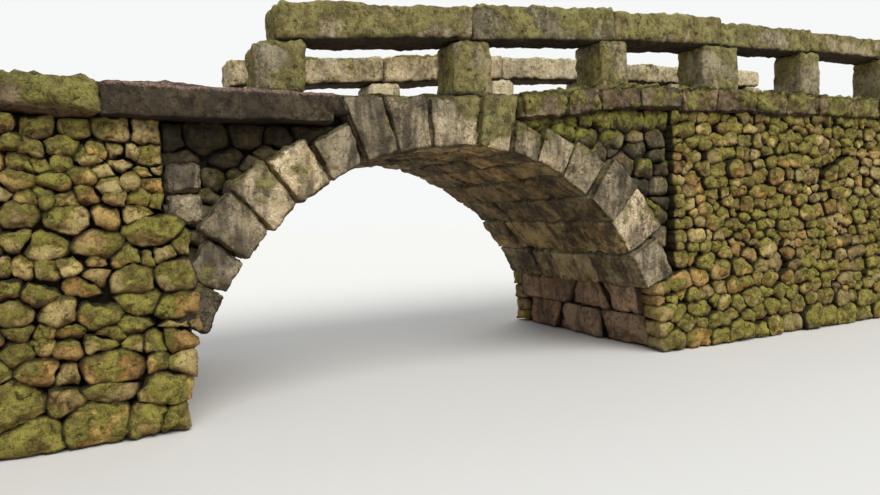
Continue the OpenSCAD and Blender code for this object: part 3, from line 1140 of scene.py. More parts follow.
@dataclass(frozen=True)
class Survey:
    """The bridge's main lines, read from the CAD nodes.

    Attributes:
        half_l: Half the length of the bridge.
        half_w: Distance from its middle to the arch's face.
        core_y: Distance from its middle to the back of the face walls.
        batter: How far the walls' foot stands out from their head.
        lean_top: Height at which the leaning walls reach the arch's face.
        abutment_x: Distance from mid-span to the back of the abutments.
        skew_top: Height of the abutments.
        arch_drop: Depth of the arch's centre under the bridge's foot.
        pier_head: X and Z of a pier face's head, as distances from mid-span and the bridge's foot.
        pier_foot: Distance from mid-span to the foot of a pier's face.
        wing_x: Distance from mid-span to each wing wall's end by the arch.
        road: Points of the road's edge, as X and Z.
        seat: Points of the edge stones' underside, as X and Z.
    """

    half_l: float
    half_w: float
    core_y: float
    batter: float
    lean_top: float
    abutment_x: float
    skew_top: float
    arch_drop: float
    pier_head: tuple[float, float]
    pier_foot: float
    wing_x: dict[End, float]
    road: Array
    seat: Array

    @classmethod
    def read(cls) -> "Survey":
        """Read the sizes from the nodes' boxes and points.

        Returns:
            The bridge's main lines.
        """
        half_l, core_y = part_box("road_bed")[1][:2]
        half_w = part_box("voussoir_08")[1][1]
        pier = CadNode("right_abutment").points
        abutment_x, skew_top = pier[:, 0].max(), pier[:, 2].max()
        head_x, _, head_z = pier[np.argmin(pier[:, 0])]
        skew_x = pier[pier[:, 2] > skew_top - TOUCHING][:, 0].min()
        nodes = (CadNode(name) for name in ("near_left_edge_slabs", "near_right_cornice"))
        edges = np.array([by_width_and_height(outline(solid)) for node in nodes for solid in node.solids()])
        lower, upper = (edges[:, :, k].reshape(-1, 2) for k in (0, 1))
        return cls(
            half_l=half_l,
            half_w=half_w,
            core_y=core_y,
            batter=-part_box("near_left_wing_wall")[0][1] - half_w,
            lean_top=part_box("near_right_cornice")[1][2],
            abutment_x=abutment_x,
            skew_top=skew_top,
            arch_drop=(skew_top - head_z) / (skew_x - head_x) * head_x - head_z,
            pier_head=(head_x, head_z),
            pier_foot=pier[pier[:, 2] < TOUCHING][:, 0].min(),
            wing_x={End.LEFT: -CadNode("near_left_wing_wall").points[:, 0].max(),
                    End.RIGHT: CadNode("near_right_wing_wall").points[:, 0].min()},
            road=upper[np.argsort(upper[:, 0])],
            seat=lower[np.argsort(lower[:, 0])],
        )

    def road_z(self, x: Array | float) -> Array:
        """Height of the road's edge at X."""
        return np.interp(x, self.road[:, 0], self.road[:, 1])

    def seat_z(self, x: Array | float) -> Array:
        """Height of the edge stones' underside at X."""
        return np.interp(x, self.seat[:, 0], self.seat[:, 1])

    def face_y(self, z: Array) -> Array:
        """Distance of a leaning wall's face from the bridge's middle at Z."""
        return self.half_w + self.batter * (1.0 - z / self.lean_top)

    def pier_x(self, z: Array) -> Array:
        """Distance of a pier's face from mid-span at Z."""
        return self.pier_foot + (self.pier_head[0] - self.pier_foot) * z / self.pier_head[1]


@dataclass(frozen=True)
class Coursing:
    """How a face of rubble is laid.

    Attributes:
        foot: Height of the lowest courses, and head of the highest.
        length: Shortest and longest stone, against its course's height.
        gap: Width of the open joints, which is below 0 where stones press into each other.
        stray: How far stones stray from their courses, in parts of a course.
        square: How square the stones are: their outline's exponent, from 4 for pebbles to 20 for blocks.
        depth: Length of a stone into the wall.
        proud: How far stones stand out or back from the face.
        flat: What a length along the face counts for against a height, which is low for flat stones.
    """

    foot: float
    head: float
    length: tuple[float, float] = (0.85, 2.0)
    gap: float = 0.007
    stray: float = 0.16
    square: float = 9.0
    depth: float = 0.22
    proud: float = 0.02
    flat: float = 0.72


def cut_lengths(rng: np.random.Generator, start: float, end: float, short: float, long: float) -> Array:
    """Places that cut a run into random lengths.

    Args:
        rng: Source of the random lengths.
        start: Where the run starts.
        end: Where it ends.
        short: The shortest length.
        long: The longest length.

    Returns:
        The places, from start to end.
    """
    cuts = [start]
    while end - cuts[-1] > 1.35 * short:
        step = rng.uniform(short, long)
        if end - cuts[-1] - step < 0.75 * short:
            break
        cuts.append(cuts[-1] + step)
    return np.array(cuts + [end])


def full_turn(count: int) -> Array:
    """Angles that share a full turn evenly."""
    return np.linspace(0.0, 2 * np.pi, count, endpoint=False)


def rays(turn: Array) -> Array:
    """Unit vectors at the angles, of shape (n, 2)."""
    return np.stack([np.cos(turn), np.sin(turn)], axis=-1)


class PebbleGrid:
    """The skin of a rubble stone in polar form: rings of points from its outer pole to its back."""

    FLATNESS = 0.72
    BACK_TAPER = 0.2

    def __init__(self, around: int, front: int, back: int) -> None:
        """Set out the rings.

        A ring of the front has the radius sin(a) and lies cos(a) short of the full depth, each to the power of
        the flatness, for an angle a that grows evenly to a right angle. That is flatter at the pole and
        rounder at the rim than a sphere. The rings of the back draw in by the taper.

        Args:
            around: Points on a ring.
            front: Rings from the pole to the rim.
            back: Rings from the rim to the back.
        """
        angle = np.linspace(0.0, np.pi / 2, front + 1)[1:]
        share = np.linspace(0.0, 1.0, back + 1)[1:]
        front_radius, back_radius = np.sin(angle) ** self.FLATNESS, 1.0 - self.BACK_TAPER * share
        self.radius = np.concatenate([[0.0], front_radius, back_radius, [0.0]])
        self.round = np.concatenate([[0.0], 1.0 - np.cos(angle) ** self.FLATNESS, np.ones(back + 1)])
        self.run = np.concatenate([np.zeros(front + 1), share, [1.0]])
        self.turn = full_turn(around)
        rings = front + back
        index = 1 + np.arange(rings * around).reshape(rings, around)
        after = np.roll(index, -1, axis=1)
        end = 1 + rings * around
        pole = np.column_stack([np.zeros(around, dtype=np.int64), index[0], after[0]])
        close = np.column_stack([np.full(around, end), after[-1], index[-1]])
        quads = np.stack([index[:-1], index[1:], after[1:], after[:-1]], axis=-1).reshape(-1, 4)
        self.faces = [quads, np.concatenate([pole, close])]
        self.size = end + 1

    def spread(self, values: Array) -> Array:
        """A value for each ring, of shape (n, rings), as a value for each point, with one at each pole."""
        middle = np.repeat(values[:, 1:-1], len(self.turn), axis=1)
        return np.concatenate([values[:, :1], middle, values[:, -1:]], axis=1)


@dataclass(frozen=True)
class Limit:
    """A straight edge of a wall face, seen from each stone's middle.

    Attributes:
        normal: Direction to the edge, of shape (n, 2).
        distance: Distance to it, of shape (n,).
    """

    normal: Array
    distance: Array

    @staticmethod
    def toward(direction: Sequence[float], distance: Array) -> "Limit":
        """An edge that every stone sees in the same direction."""
        return Limit(np.tile(np.array(direction), (len(distance), 1)), distance)

    @staticmethod
    def box(left: Array, right: Array, foot: Array, head: Array, sign: float = 1.0) -> list["Limit"]:
        """The upright and level edges of a face, by the distances to them, mirrored by a sign of -1."""
        ways = ((-sign, 0.0), (sign, 0.0), (0.0, -1.0), (0.0, 1.0))
        return [Limit.toward(way, distance) for way, distance in zip(ways, (left, right, foot, head))]

    @staticmethod
    def panel(middles: Array, half: Array | float, head: float) -> list["Limit"]:
        """The edges of a face from -half to half along and from 0 to its head, for the stones' middles."""
        along, z = middles.T
        return Limit.box(along + half, half - along, z, head - z)


@dataclass
class RubbleFace:
    """A wall face of rubble, in which each stone fills its cell between its neighbours.

    The cells are a weighted Voronoi diagram of points set in rough courses: an edge lies between two points
    where their squared distances, less their weights, are equal. Lengths along the face count for less than
    heights, so that stones lie on their long sides.

    Attributes:
        mason: Who cuts the stones.
        rule: How they are laid.
        place: Turns places along the face, heights and depths behind it into points.
        limits: Gives the face's own edges, as seen from the stones' middles.
        middles: The stones' middles along the face, of shape (n, 2).
        weights: One weight a stone, greater for a larger one.
    """

    mason: Mason
    rule: Coursing
    place: Placer
    limits: Callable[[Array], list[Limit]]
    middles: Array = field(init=False)
    weights: Array = field(init=False)

    # Widest stone that takes each grid
    GRIDS = (
        (0.055, PebbleGrid(14, 4, 1)),
        (0.09, PebbleGrid(18, 5, 1)),
        (0.14, PebbleGrid(24, 7, 2)),
        (0.19, PebbleGrid(36, 11, 2)),
        (math.inf, PebbleGrid(56, 18, 3)),
    )
    NEIGHBOURS = 12
    # Room from a face's edge that a stone's middle is drawn in to, and the least with which it is kept
    EDGE_ROOM = 0.06
    LEAST_ROOM = 0.03
    # Share of the way that a stone's middle moves to its cell's
    SETTLING = 0.8
    LEAST_REACH = 0.02
    LEAN = 0.07

    def set_out(self, left: float, right: float, bottom: float, top: Callable[[Array], Array]) -> None:
        """Set a point for each stone, course by course.

        The courses grow lower from the foot up, and wave by a sine along the face.

        Args:
            left: The face's left edge.
            right: Its right edge.
            bottom: Height of its foot.
            top: Its top at places along it.
        """
        rng, rule = self.mason.rng, self.rule
        span = top(0.5 * (left + right)) - bottom
        heights: list[float] = []
        while sum(heights) < span - 0.4 * rule.head:
            sunk = (1.0 - sum(heights) / span) ** 4
            heights.append((rule.head + (rule.foot - rule.head) * sunk) * rng.uniform(0.75, 1.3))
        beds = np.cumsum([0.0] + heights) / sum(heights)
        middles, weights = [], []
        for low, high in zip(beds, beds[1:]):
            height = (high - low) * span
            cuts = cut_lengths(rng, left, right, height * rule.length[0], height * rule.length[1])
            x = 0.5 * (cuts[1:] + cuts[:-1])
            share = 0.5 * (low + high) + 1.75 * rule.stray * (high - low) * np.sin(1.7 * x + 9.0 * low)
            z = bottom + share * (top(x) - bottom)
            stray = rng.normal(0.0, rule.stray * height, (len(x), 2))
            middles.append(np.column_stack([x, z]) + stray)
            weights.append((rule.flat / 2.4 * np.diff(cuts)) ** 2 * rng.uniform(0.3, 1.9, len(x)))
        self.middles, self.weights = np.concatenate(middles), np.concatenate(weights)

    def drop_outside(self) -> None:
        """Drop the points without room inside the face's edges."""
        inside = np.min([limit.distance for limit in self.limits(self.middles)], axis=0) > self.LEAST_ROOM
        self.middles, self.weights = self.middles[inside], self.weights[inside]

    def lay(self, left: float, right: float, bottom: float, top: Callable[[Array], Array]) -> None:
        """Lay the whole face.

        The points are set out, those at its edges are drawn in, those that still lie outside it are dropped,
        and each moves most of the way to its cell's middle.

        Args:
            left: The face's left edge.
            right: Its right edge.
            bottom: Height of its foot.
            top: Its top at places along it.
        """
        self.set_out(left, right, bottom, top)
        for limit in self.limits(self.middles):
            self.middles -= limit.normal * np.clip(self.EDGE_ROOM - limit.distance, 0.0, 0.1)[:, None]
        self.drop_outside()
        turn = full_turn(24)
        reach = self.reaches(turn)
        pull = (reach[..., None] ** 3 * rays(turn)).sum(axis=1)
        pull /= 1.5 * (reach**2).sum(axis=1, keepdims=True)
        self.middles = self.middles + self.SETTLING * pull
        self.drop_outside()

    def reaches(self, turn: Array) -> Array:
        """How far each stone reaches from its middle in each direction.

        The reach is the power mean of the distances to all its edges in that direction, which rounds the
        cell's corners. The mean's exponent is the coursing's squareness.

        Args:
            turn: The directions' angles.

        Returns:
            Reaches of shape (n, angles).
        """
        squash = np.array([self.rule.flat, 1.0])
        arm = (self.middles[None] - self.middles[:, None]) * squash
        far = (arm**2).sum(axis=-1)
        np.fill_diagonal(far, np.inf)
        near = np.argsort(far, axis=1)[:, :min(self.NEIGHBOURS, len(far) - 1)]
        length = np.sqrt(np.take_along_axis(far, near, axis=1))
        arm = np.take_along_axis(arm, near[..., None], axis=1)
        edge = 0.5 * (length + (self.weights[:, None] - self.weights[near]) / length)
        normal = squash * arm / length[..., None]
        scale = np.linalg.norm(normal, axis=-1)
        own = self.limits(self.middles)
        normal = np.concatenate([normal / scale[..., None], *(limit.normal[:, None] for limit in own)], axis=1)
        edge = np.concatenate([edge / scale, *(limit.distance[:, None] for limit in own)], axis=1)
        edge = np.maximum(edge - 0.5 * self.rule.gap, self.LEAST_REACH)
        toward = np.maximum(np.einsum("nkj,tj->nkt", normal, rays(turn)), 0.0)
        return ((toward / edge[..., None]) ** self.rule.square).sum(axis=1) ** (-1.0 / self.rule.square)

    def stones(self, wear: Wear, setting: Setting = OPEN, pick: Array | None = None) -> Skin:
        """Cut stones of the face, which stand out or back from it a little and lean.

        Args:
            wear: How they have worn.
            setting: What their place does to them.
            pick: Which stones to cut, or None for all.

        Returns:
            The stones' skins, joined.
        """
        rng, rule = self.mason.rng, self.rule
        total = len(self.middles)
        coarse = self.reaches(full_turn(16))
        width = coarse.mean(axis=1)
        out = rng.uniform(-rule.proud, rule.proud, total)
        lean = rng.normal(0.0, self.LEAN, (total, 2))
        numbers = rng.random((total, 3))
        wanted = np.ones(total, dtype=bool) if pick is None else pick
        skins, below = [], 0.0
        for limit, grid in self.GRIDS:
            some = np.flatnonzero(wanted & (width >= below) & (width < limit))
            below = limit
            if len(some) == 0:
                continue
            fillet = np.minimum(wear.radius, 0.62 * coarse[some].min(axis=1))[:, None]
            depth = grid.spread(fillet * grid.round - wear.bulge * (1.0 - grid.radius**2) * (grid.run == 0)
                                + grid.run * (rule.depth - fillet))
            reach = self.reaches(grid.turn)[some]
            flat = reach[:, None, :, None] * rays(grid.turn) * grid.radius[1:-1, None, None]
            pole = np.zeros((len(some), 1, 2))
            flat = np.concatenate([pole, flat.reshape(len(some), -1, 2), pole], axis=1)
            depth = depth - out[some, None] + (flat * lean[some, None]).sum(axis=-1)
            flat = flat + self.middles[some, None]
            points = self.place(flat[..., 0], flat[..., 1], depth).reshape(-1, 3)
            edge = ((grid.radius > 0.7) & (grid.run == 0)).astype(float)
            # Painted shade on the stones' sides and rims, where they turn back into the joints
            shade = 0.95 * smooth(np.maximum(grid.run, 0.55 * smooth(grid.radius, 0.82, 1.0)), 0.0, 0.6)
            edge, shade = (np.tile(grid.spread(ring[None]).ravel(), len(some)) for ring in (edge, shade))
            stones = np.repeat(numbers[some], grid.size, axis=0)
            faces = repeated(grid.faces, grid.size, len(some))
            skins.append(self.mason.weathered(points, faces, stones, edge, shade, wear, setting))
        return Skin.joined(skins)


@dataclass
class ArchRing:
    """The dry-laid ring: face stones at both sides, and longer stones between them.

    Attributes:
        survey: The bridge's main lines.
        seed: Number that fixes the stones' wear.
        joint: How far a stone's ends lie inside its solid's.
        face_out: How far a face stone may stand back from the arch's face and out from it.
        soffit_out: How far a barrel stone may stand out from the soffit and back from it.
        barrel_length: Shortest and longest barrel stone.
        wear: How the stones have worn.
        barrel_grime: How far the barrel's edges darken towards its joints, as dirt and painted shade.
        solids: The near, middle and far solid of each course.
        centre: X and Z of the arch's centre.
        radius: The soffit's radius.
        backs: Each course's angle from upright at its left joint, and its back's distance from the centre.
    """

    survey: Survey
    seed: int = 11
    joint: float = 0.005
    face_out: tuple[float, float] = (-0.022, 0.014)
    soffit_out: tuple[float, float] = (-0.014, 0.012)
    barrel_length: tuple[float, float] = (0.36, 0.62)
    wear: Wear = Wear(radius=0.026, dent=0.019, dent_size=0.2, rough=0.009, rough_size=0.055, chip=0.022,
                      bulge=0.016, moss=Mossing(level=-0.08, facing=0.6, patch=0.55), joint_dirt_and_shade=0.6)
    barrel_grime: float = 0.2
    solids: dict[str, list[Array]] = field(init=False)
    centre: Array = field(init=False)
    radius: float = field(init=False)
    backs: Array = field(init=False)

    FACE_GRID = BlockGrid((24, 9, 22), (Axis.DEPTH, 1))
    BARREL_GRID = BlockGrid((14, 4, 16), (Axis.DEPTH, 1))
    # Tones of the courses from the left whose lightness shows in the photograph
    # The first course is toned dark as painted shade
    TONES = {1: Tone.IN_PAINTED_SHADE, 3: Tone.DULL, 4: Tone.PALE, 5: Tone.BRIGHT, 6: Tone.DULL, 7: Tone.DARK,
             8: Tone.DULL, 9: Tone.PALE, 10: Tone.BRIGHT, 14: Tone.DULL, 15: Tone.BRIGHT, 16: Tone.DULL}

    def __post_init__(self) -> None:
        """Read the ring stones from the frame, and fit a circle to their corners on the soffit."""
        self.mason = Mason(self.seed)
        self.setting = Setting(self.mossed, self.sheltered_and_shaded)
        names = sorted(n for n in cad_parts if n.startswith("voussoir_"))
        self.solids = {n: sorted(CadNode(n).solids(), key=lambda p: p[:, 1].mean()) for n in names}
        flats = [outline(near) for near, _, _ in self.solids.values()]
        lows = np.concatenate([flat[np.argsort((flat**2).sum(axis=1))[:2]] for flat in flats])
        lift = np.column_stack([lows, np.ones(len(lows))])
        fit = np.linalg.lstsq(lift, (lows**2).sum(axis=1), rcond=None)[0]
        self.centre = fit[:2] / 2
        self.radius = math.sqrt(fit[2] + self.centre @ self.centre)
        arms = [self.corners(flat) - self.centre for flat in flats]
        backs = ([math.atan2(*arm[0, 0]), np.linalg.norm(arm[:, 1], axis=1).mean()] for arm in arms)
        self.backs = np.array(sorted(backs))

    def corners(self, flat: Array) -> Array:
        """A ring stone's outline corners, by place along the ring and distance from the arch's centre."""
        flat = flat[np.argsort(np.linalg.norm(flat - self.centre, axis=1))]
        return np.stack([pair[np.argsort(pair[:, 0])] for pair in (flat[:2], flat[2:4])], axis=1)

    def outside(self, points: Array) -> Array:
        """How far points lie beyond the back of the ring stone on their ray.

        Args:
            points: X and Z, of shape (n, 2).

        Returns:
            One distance a point.
        """
        arm = points - self.centre
        course = np.searchsorted(self.backs[:, 0], np.arctan2(arm[:, 0], arm[:, 1])) - 1
        return np.linalg.norm(arm, axis=1) - self.backs[np.clip(course, 0, len(self.backs) - 1), 1]

    def drawn_in(self, solid: Array) -> Array:
        """A stone's outline corners, moved apart from its neighbours' by the joint, along the ring."""
        flat = self.corners(outline(solid))
        step = self.joint * (flat[1] - flat[0]) / np.linalg.norm(flat[1] - flat[0], axis=1, keepdims=True)
        return np.stack([flat[0] + step, flat[1] - step])

    def from_soffit(self, points: Array) -> Array:
        """How far points lie outside the soffit's circle."""
        return np.linalg.norm(points[:, [0, 2]] - self.centre, axis=1) - self.radius

    def mossed(self, points: Array) -> Array:
        """More moss towards the stones' backs and the road, on the right, and most by the crown's right half.

        Args:
            points: Places.

        Returns:
            What is added to the moss cover at each point.
        """
        right = smooth(points[:, 0], -0.4, 0.4)
        high = 0.3 * right * smooth(points[:, 2], 1.6, 2.1)
        crown = right * (1.0 - smooth(points[:, 0], 0.45, 0.7)) * smooth(points[:, 2], 1.88, 2.04)
        return (0.1 + high) * smooth(self.from_soffit(points), 0.03, 0.3) + high + 0.45 * crown

    def sheltered_and_shaded(self, points: Array) -> Array:
        """The soffit is sheltered and painted in shade from a hand's breadth inside the faces, most under the
        crown.
        """
        inside = smooth(self.survey.half_w - np.abs(points[:, 1]), 0.05, 0.7)
        return inside * (1.0 - smooth(self.from_soffit(points), 0.02, 0.1)) * (
            0.3 + 0.7 * smooth(points[:, 2], 1.0, 1.75))

    def face_stone(self, solid: Array, face: Face, tone: Tone | None) -> Skin:
        """A ring stone at one of the faces, standing a little out or back from it.

        Args:
            solid: Points of its solid.
            face: The face that it is at.
            tone: How light it is.

        Returns:
            Its skin.
        """
        rng = self.mason.rng
        flat = self.drawn_in(solid)
        flat = flat + rng.normal(0.0, 0.006, flat.shape)
        back = face.value * np.abs(solid[:, 1]).min()
        front = face.value * (self.survey.half_w + rng.uniform(*self.face_out))
        corners = prism_corners(flat, (front, back))
        corners[:, 0, :, 1] += rng.normal(0.0, 0.007, (2, 2))
        return self.mason.blocks(self.FACE_GRID, corners[None], self.wear, self.setting, tone)

    def barrel_stones(self, solid: Array) -> Skin:
        """The stones between the face stones: two or three a course, whose outer side is the soffit.

        Args:
            solid: Points of the course's middle solid.

        Returns:
            Their skins, joined.
        """
        rng = self.mason.rng
        flat = self.drawn_in(solid)
        cuts = cut_lengths(rng, solid[:, 1].min(), solid[:, 1].max(), *self.barrel_length)
        half_joint = 0.5 * self.joint
        corners = np.empty((len(cuts) - 1, 2, 2, 2, 3))
        for k, (low, high) in enumerate(zip(cuts, cuts[1:])):
            step = rng.uniform(*self.soffit_out)
            moved = flat[:, 0] + step * (self.centre - flat[:, 0]) / self.radius
            for depth, ends in enumerate((moved, flat[:, 1])):
                corners[k, :, depth, :, 0] = ends[:, None, 0]
                corners[k, :, depth, :, 1] = low + half_joint, high - half_joint
                corners[k, :, depth, :, 2] = ends[:, None, 1]
        wear = replace(self.wear, joint_dirt_and_shade=self.barrel_grime)
        return self.mason.blocks(self.BARREL_GRID, corners, wear, self.setting)

    def packing(self) -> Skin:
        """The packing behind the joints, in painted shade: an arc-shaped slab in the ring, clear of all its
        faces.

        Returns:
            A closed skin, mostly painted shade.
        """
        grid = BlockGrid((64, 2, 2), crowd=0.0)
        angle = grid.points[:, 0] * math.radians(64)
        radius = self.radius + 0.14 + 0.07 * grid.points[:, 2]
        x, z = self.centre[0] + radius * np.sin(angle), self.centre[1] + radius * np.cos(angle)
        y = grid.points[:, 1] * (self.survey.half_w - 0.09)
        return Skin.plain(np.column_stack([x, y, z]), grid.faces, shade=0.9)

    def build(self, yard: Yard) -> None:
        """Make a piece for each course of the ring, and one for its packing.

        Args:
            yard: Where the pieces are put together.
        """
        for number, (name, (near, middle, far)) in enumerate(self.solids.items(), 1):
            tone = self.TONES.get(number)
            skins = [self.face_stone(near, Face.NEAR, tone), self.barrel_stones(middle),
                     self.face_stone(far, Face.FAR, tone)]
            yard.place(f"{name}_stones", Skin.joined(skins), Slot.RING, name)
        yard.place("ring_packing", self.packing(), Slot.HEARTING)


@dataclass
class WingWalls:
    """The rubble walls on both sides of the arch, with the abutments' faces under them and the cut ends.

    Attributes:
        survey: The bridge's main lines.
        seed: Number that fixes the stones.
        coursing: How the long faces and the ends are laid.
        wear: How their stones have worn.
        set_back: How far the long faces' stones lie behind the CAD walls' face.
        end_overlap: How far the ends' stones run on behind the long faces' corner stones.
        pier_coursing: How the piers' faces are laid.
        pier_wear: How their blocks have worn.
        pier_shelter_and_shade: How sheltered they are, which also darkens them as painted shade.
        pier_corner: How far the long faces' corner stones reach into a pier's face.
        packing_depth: How far the packing, painted in shade, lies behind the faces.
        packing_gap: How far the wing walls' packing stays from the arch.
        packing_drop: How far the abutments' packing lies under their top.
        bulge: Upper and lower end of the line to which the left wall's lower stones run on over the ring's
            back, as distances from mid-span and heights.
    """

    survey: Survey
    seed: int = 23
    coursing: Coursing = Coursing(foot=0.17, head=0.105, gap=-0.008, stray=0.2, proud=0.026)
    wear: Wear = Wear(radius=0.034, dent=0.022, dent_size=0.12, rough=0.013, rough_size=0.05, chip=0.016,
                      bulge=0.012, moss=Mossing(level=0.36, facing=0.55, patch=0.85, thickness=0.014))
    set_back: float = 0.012
    end_overlap: float = 0.02
    pier_coursing: Coursing = Coursing(foot=0.25, head=0.2, length=(1.5, 3.2), gap=-0.006, stray=0.03,
                                       square=26.0, depth=0.3, flat=0.2)
    pier_wear: Wear = Wear(radius=0.024, dent=0.02, dent_size=0.2, rough=0.01, rough_size=0.06, chip=0.016,
                           bulge=0.006, moss=Mossing(level=-0.1, facing=0.6, patch=0.45))
    pier_shelter_and_shade: float = 0.25
    pier_corner: float = 0.16
    packing_depth: float = 0.11
    packing_gap: float = 0.07
    packing_drop: float = 0.05
    bulge: tuple[tuple[float, float], tuple[float, float]] = ((1.93, 1.24), (1.865, 0.5))

    # Distance that stands for an edge which a stone doesn't see
    FAR_OFF = 9.0

    def __post_init__(self) -> None:
        """Make the settings of the ends, of the long faces and of the piers."""
        self.setting = Setting(self.mossed)
        self.face_setting = Setting(self.mossed, bared=self.bared)
        self.pier_setting = Setting(shelter=lambda points: np.full(len(points), self.pier_shelter_and_shade))

    def mossed(self, points: Array) -> Array:
        """More moss under the coping, where rain runs down, and at the damp foot, but less inside the arch.

        Args:
            points: Places.

        Returns:
            What is added to the moss cover at each point.
        """
        arch = 1.0 - smooth(np.abs(points[:, 0]), 1.95, 2.1)
        foot = 0.25 * (1.0 - smooth(points[:, 2], 0.2, 0.9)) - 0.7 * arch * (points[:, 2] < 0.7)
        return foot + 0.2 * smooth(points[:, 2], 1.6, 2.05)

    def bared(self, points: Array) -> Array:
        """The corner stones' sides show at the bridge's ends and beside the piers' faces, without painted joint
        shade.
        """
        out = np.abs(points[:, 0])
        end = smooth(out, self.survey.half_l - 0.07, self.survey.half_l - 0.04)
        return np.maximum(end, 1.0 - smooth(out - self.survey.pier_x(points[:, 2]), 0.03, 0.06))

    def on_long_face(self, face: Face, along: Array, z: Array, depth: Array) -> Array:
        """Points of the leaning face along one side."""
        return np.stack([along, face.value * (self.survey.face_y(z) - self.set_back - depth), z], axis=-1)

    def on_end(self, end: End, along: Array, z: Array, depth: Array) -> Array:
        """Points of the upright face at one end of the bridge."""
        return np.stack([end.value * (self.survey.half_l - depth), along, z], axis=-1)

    def on_pier(self, end: End, along: Array, z: Array, depth: Array) -> Array:
        """Points of the leaning face of a pier, inside the arch."""
        return np.stack([end.value * (self.survey.pier_x(z) + depth), along, z], axis=-1)

    def side_limits(self, end: End, middles: Array) -> list[Limit]:
        """The edges of a long face, as its stones see them.

        Stones under the springer's joint end at that joint and at the pier's face, and those over it end
        where the wing wall does. On the left, the lower ones run on over the ring's back, to the bulge's line.
        All end at the foot, at the seat of the edge stones and at the end of the bridge.

        Args:
            end: The end of the bridge that the face runs to.
            middles: The stones' middles.

        Returns:
            The edges.
        """
        survey, sign = self.survey, end.value
        out, z = sign * middles[:, 0], middles[:, 1]
        joint = np.array([-survey.pier_head[1] - survey.arch_drop, survey.pier_head[0]])
        joint /= np.linalg.norm(joint)
        room = (survey.pier_head[0] - out) * joint[0] + (survey.pier_head[1] - z) * joint[1]
        below = room > 0.0
        (x1, z1), (x0, z0) = self.bulge
        low = (z < z1) & (end is End.LEFT)
        edge = np.where(low, x0 + (x1 - x0) * (z - z0) / (z1 - z0), survey.wing_x[end])
        inner = out - np.where(below, survey.pier_x(z), edge)
        bulging = low & (out < survey.wing_x[end])
        return Limit.box(inner, survey.half_l - out, z, survey.seat_z(middles[:, 0]) - z, sign) + [
            Limit.toward((sign * joint[0], joint[1]), np.where(below, room, self.FAR_OFF)),
            Limit.toward((0.0, 1.0), np.where(bulging, z1 - z, self.FAR_OFF)),
        ]

    def end_limits(self, end: End, middles: Array) -> list[Limit]:
        """The edges of the face at one end of the bridge, between the corner stones of the long faces."""
        inner = self.survey.face_y(middles[:, 1]) - self.coursing.depth + self.end_overlap
        return Limit.panel(middles, inner, self.survey.seat_z(end.value * self.survey.half_l))

    def pier_limits(self, middles: Array) -> list[Limit]:
        """The edges of a pier's face inside the arch, between the corner stones of the long faces."""
        return Limit.panel(middles, self.survey.half_w - self.pier_corner, self.survey.pier_head[1] + 0.01)

    def long_face(self, yard: Yard, end: End, face: Face) -> Skin:
        """Lay one long face, and make a piece of its stones in front of the abutment.

        Args:
            yard: Where the pieces are put together.
            end: The end of the bridge that the face runs to.
            face: The side that it is on.

        Returns:
            The face's other stones, which belong to the wing wall.
        """
        survey = self.survey
        rubble = RubbleFace(Mason(self.seed + 7 * end.value + 3 * face.value), self.coursing,
                            partial(self.on_long_face, face), partial(self.side_limits, end))
        left, right = sorted((end.value * survey.pier_head[0], end.value * survey.half_l))
        rubble.lay(left, right, 0.0, survey.seat_z)
        out, z = np.abs(rubble.middles[:, 0]), rubble.middles[:, 1]
        low = (out < survey.abutment_x) & (z < survey.skew_top)
        wall = rubble.stones(self.wear, self.face_setting, ~low)
        facing = rubble.stones(self.wear, self.face_setting, low)
        yard.place(f"{face.word}_{end.word}_abutment_facing", facing, Slot.WALL)
        return wall

    def end_face(self, end: End) -> list[Skin]:
        """Lay the face at one end of the bridge.

        Args:
            end: The end.

        Returns:
            The stones of the near wing wall, of the far one and of the core between them.
        """
        survey = self.survey
        rubble = RubbleFace(Mason(self.seed + 90 + end.value), self.coursing, partial(self.on_end, end),
                            partial(self.end_limits, end))
        inner = survey.half_w + survey.batter - self.coursing.depth
        rubble.lay(-inner, inner, 0.0, lambda y: survey.seat_z(end.value * survey.half_l))
        y = rubble.middles[:, 0]
        picks = [face.value * y > survey.core_y for face in Face] + [np.abs(y) <= survey.core_y]
        return [rubble.stones(self.wear, self.setting, pick) for pick in picks]

    def pier(self, end: End) -> Skin:
        """Lay the blocks of a pier's face, inside the arch.

        Args:
            end: The end of the bridge that the pier is at.

        Returns:
            The blocks' skins, joined.
        """
        rubble = RubbleFace(Mason(self.seed + 40 + end.value), self.pier_coursing, partial(self.on_pier, end),
                            self.pier_limits)
        inner = self.survey.half_w - self.pier_corner
        rubble.lay(-inner, inner, 0.0, lambda y: self.survey.pier_head[1])
        return rubble.stones(self.pier_wear, self.pier_setting)

    def build(self, yard: Yard) -> None:
        """Make the pieces of the four wing walls, both abutments and both cores.

        Args:
            yard: Where the pieces are put together.
        """
        deep = self.packing_depth
        for end in End:
            walls = [self.long_face(yard, end, face) for face in Face]
            *corners, middle = self.end_face(end)
            for face, wall, corner in zip(Face, walls, corners):
                name = f"{face.word}_{end.word}_wing_wall"
                packing = CadNode(name).drawn_in({(X, end.value): deep, (X, -end.value): self.packing_gap,
                                                  (Y, face.value): deep})
                yard.place(f"{name}_rubble", Skin.joined([wall, corner, packing]), Slot.WALL, name)
            name = f"{end.word}_core"
            packing = CadNode(name).drawn_in({(X, end.value): deep})
            yard.place(f"{name}_hearting", Skin.joined([middle, packing]), Slot.HEARTING, name)
            name = f"{end.word}_abutment"
            packing = CadNode(name).drawn_in({(X, -1): deep, (X, 1): deep, (Y, -1): deep, (Y, 1): deep,
                                              (Z, 1): self.packing_drop})
            yard.place(f"{name}_blocks", Skin.joined([self.pier(end), packing]), Slot.PIER, name)


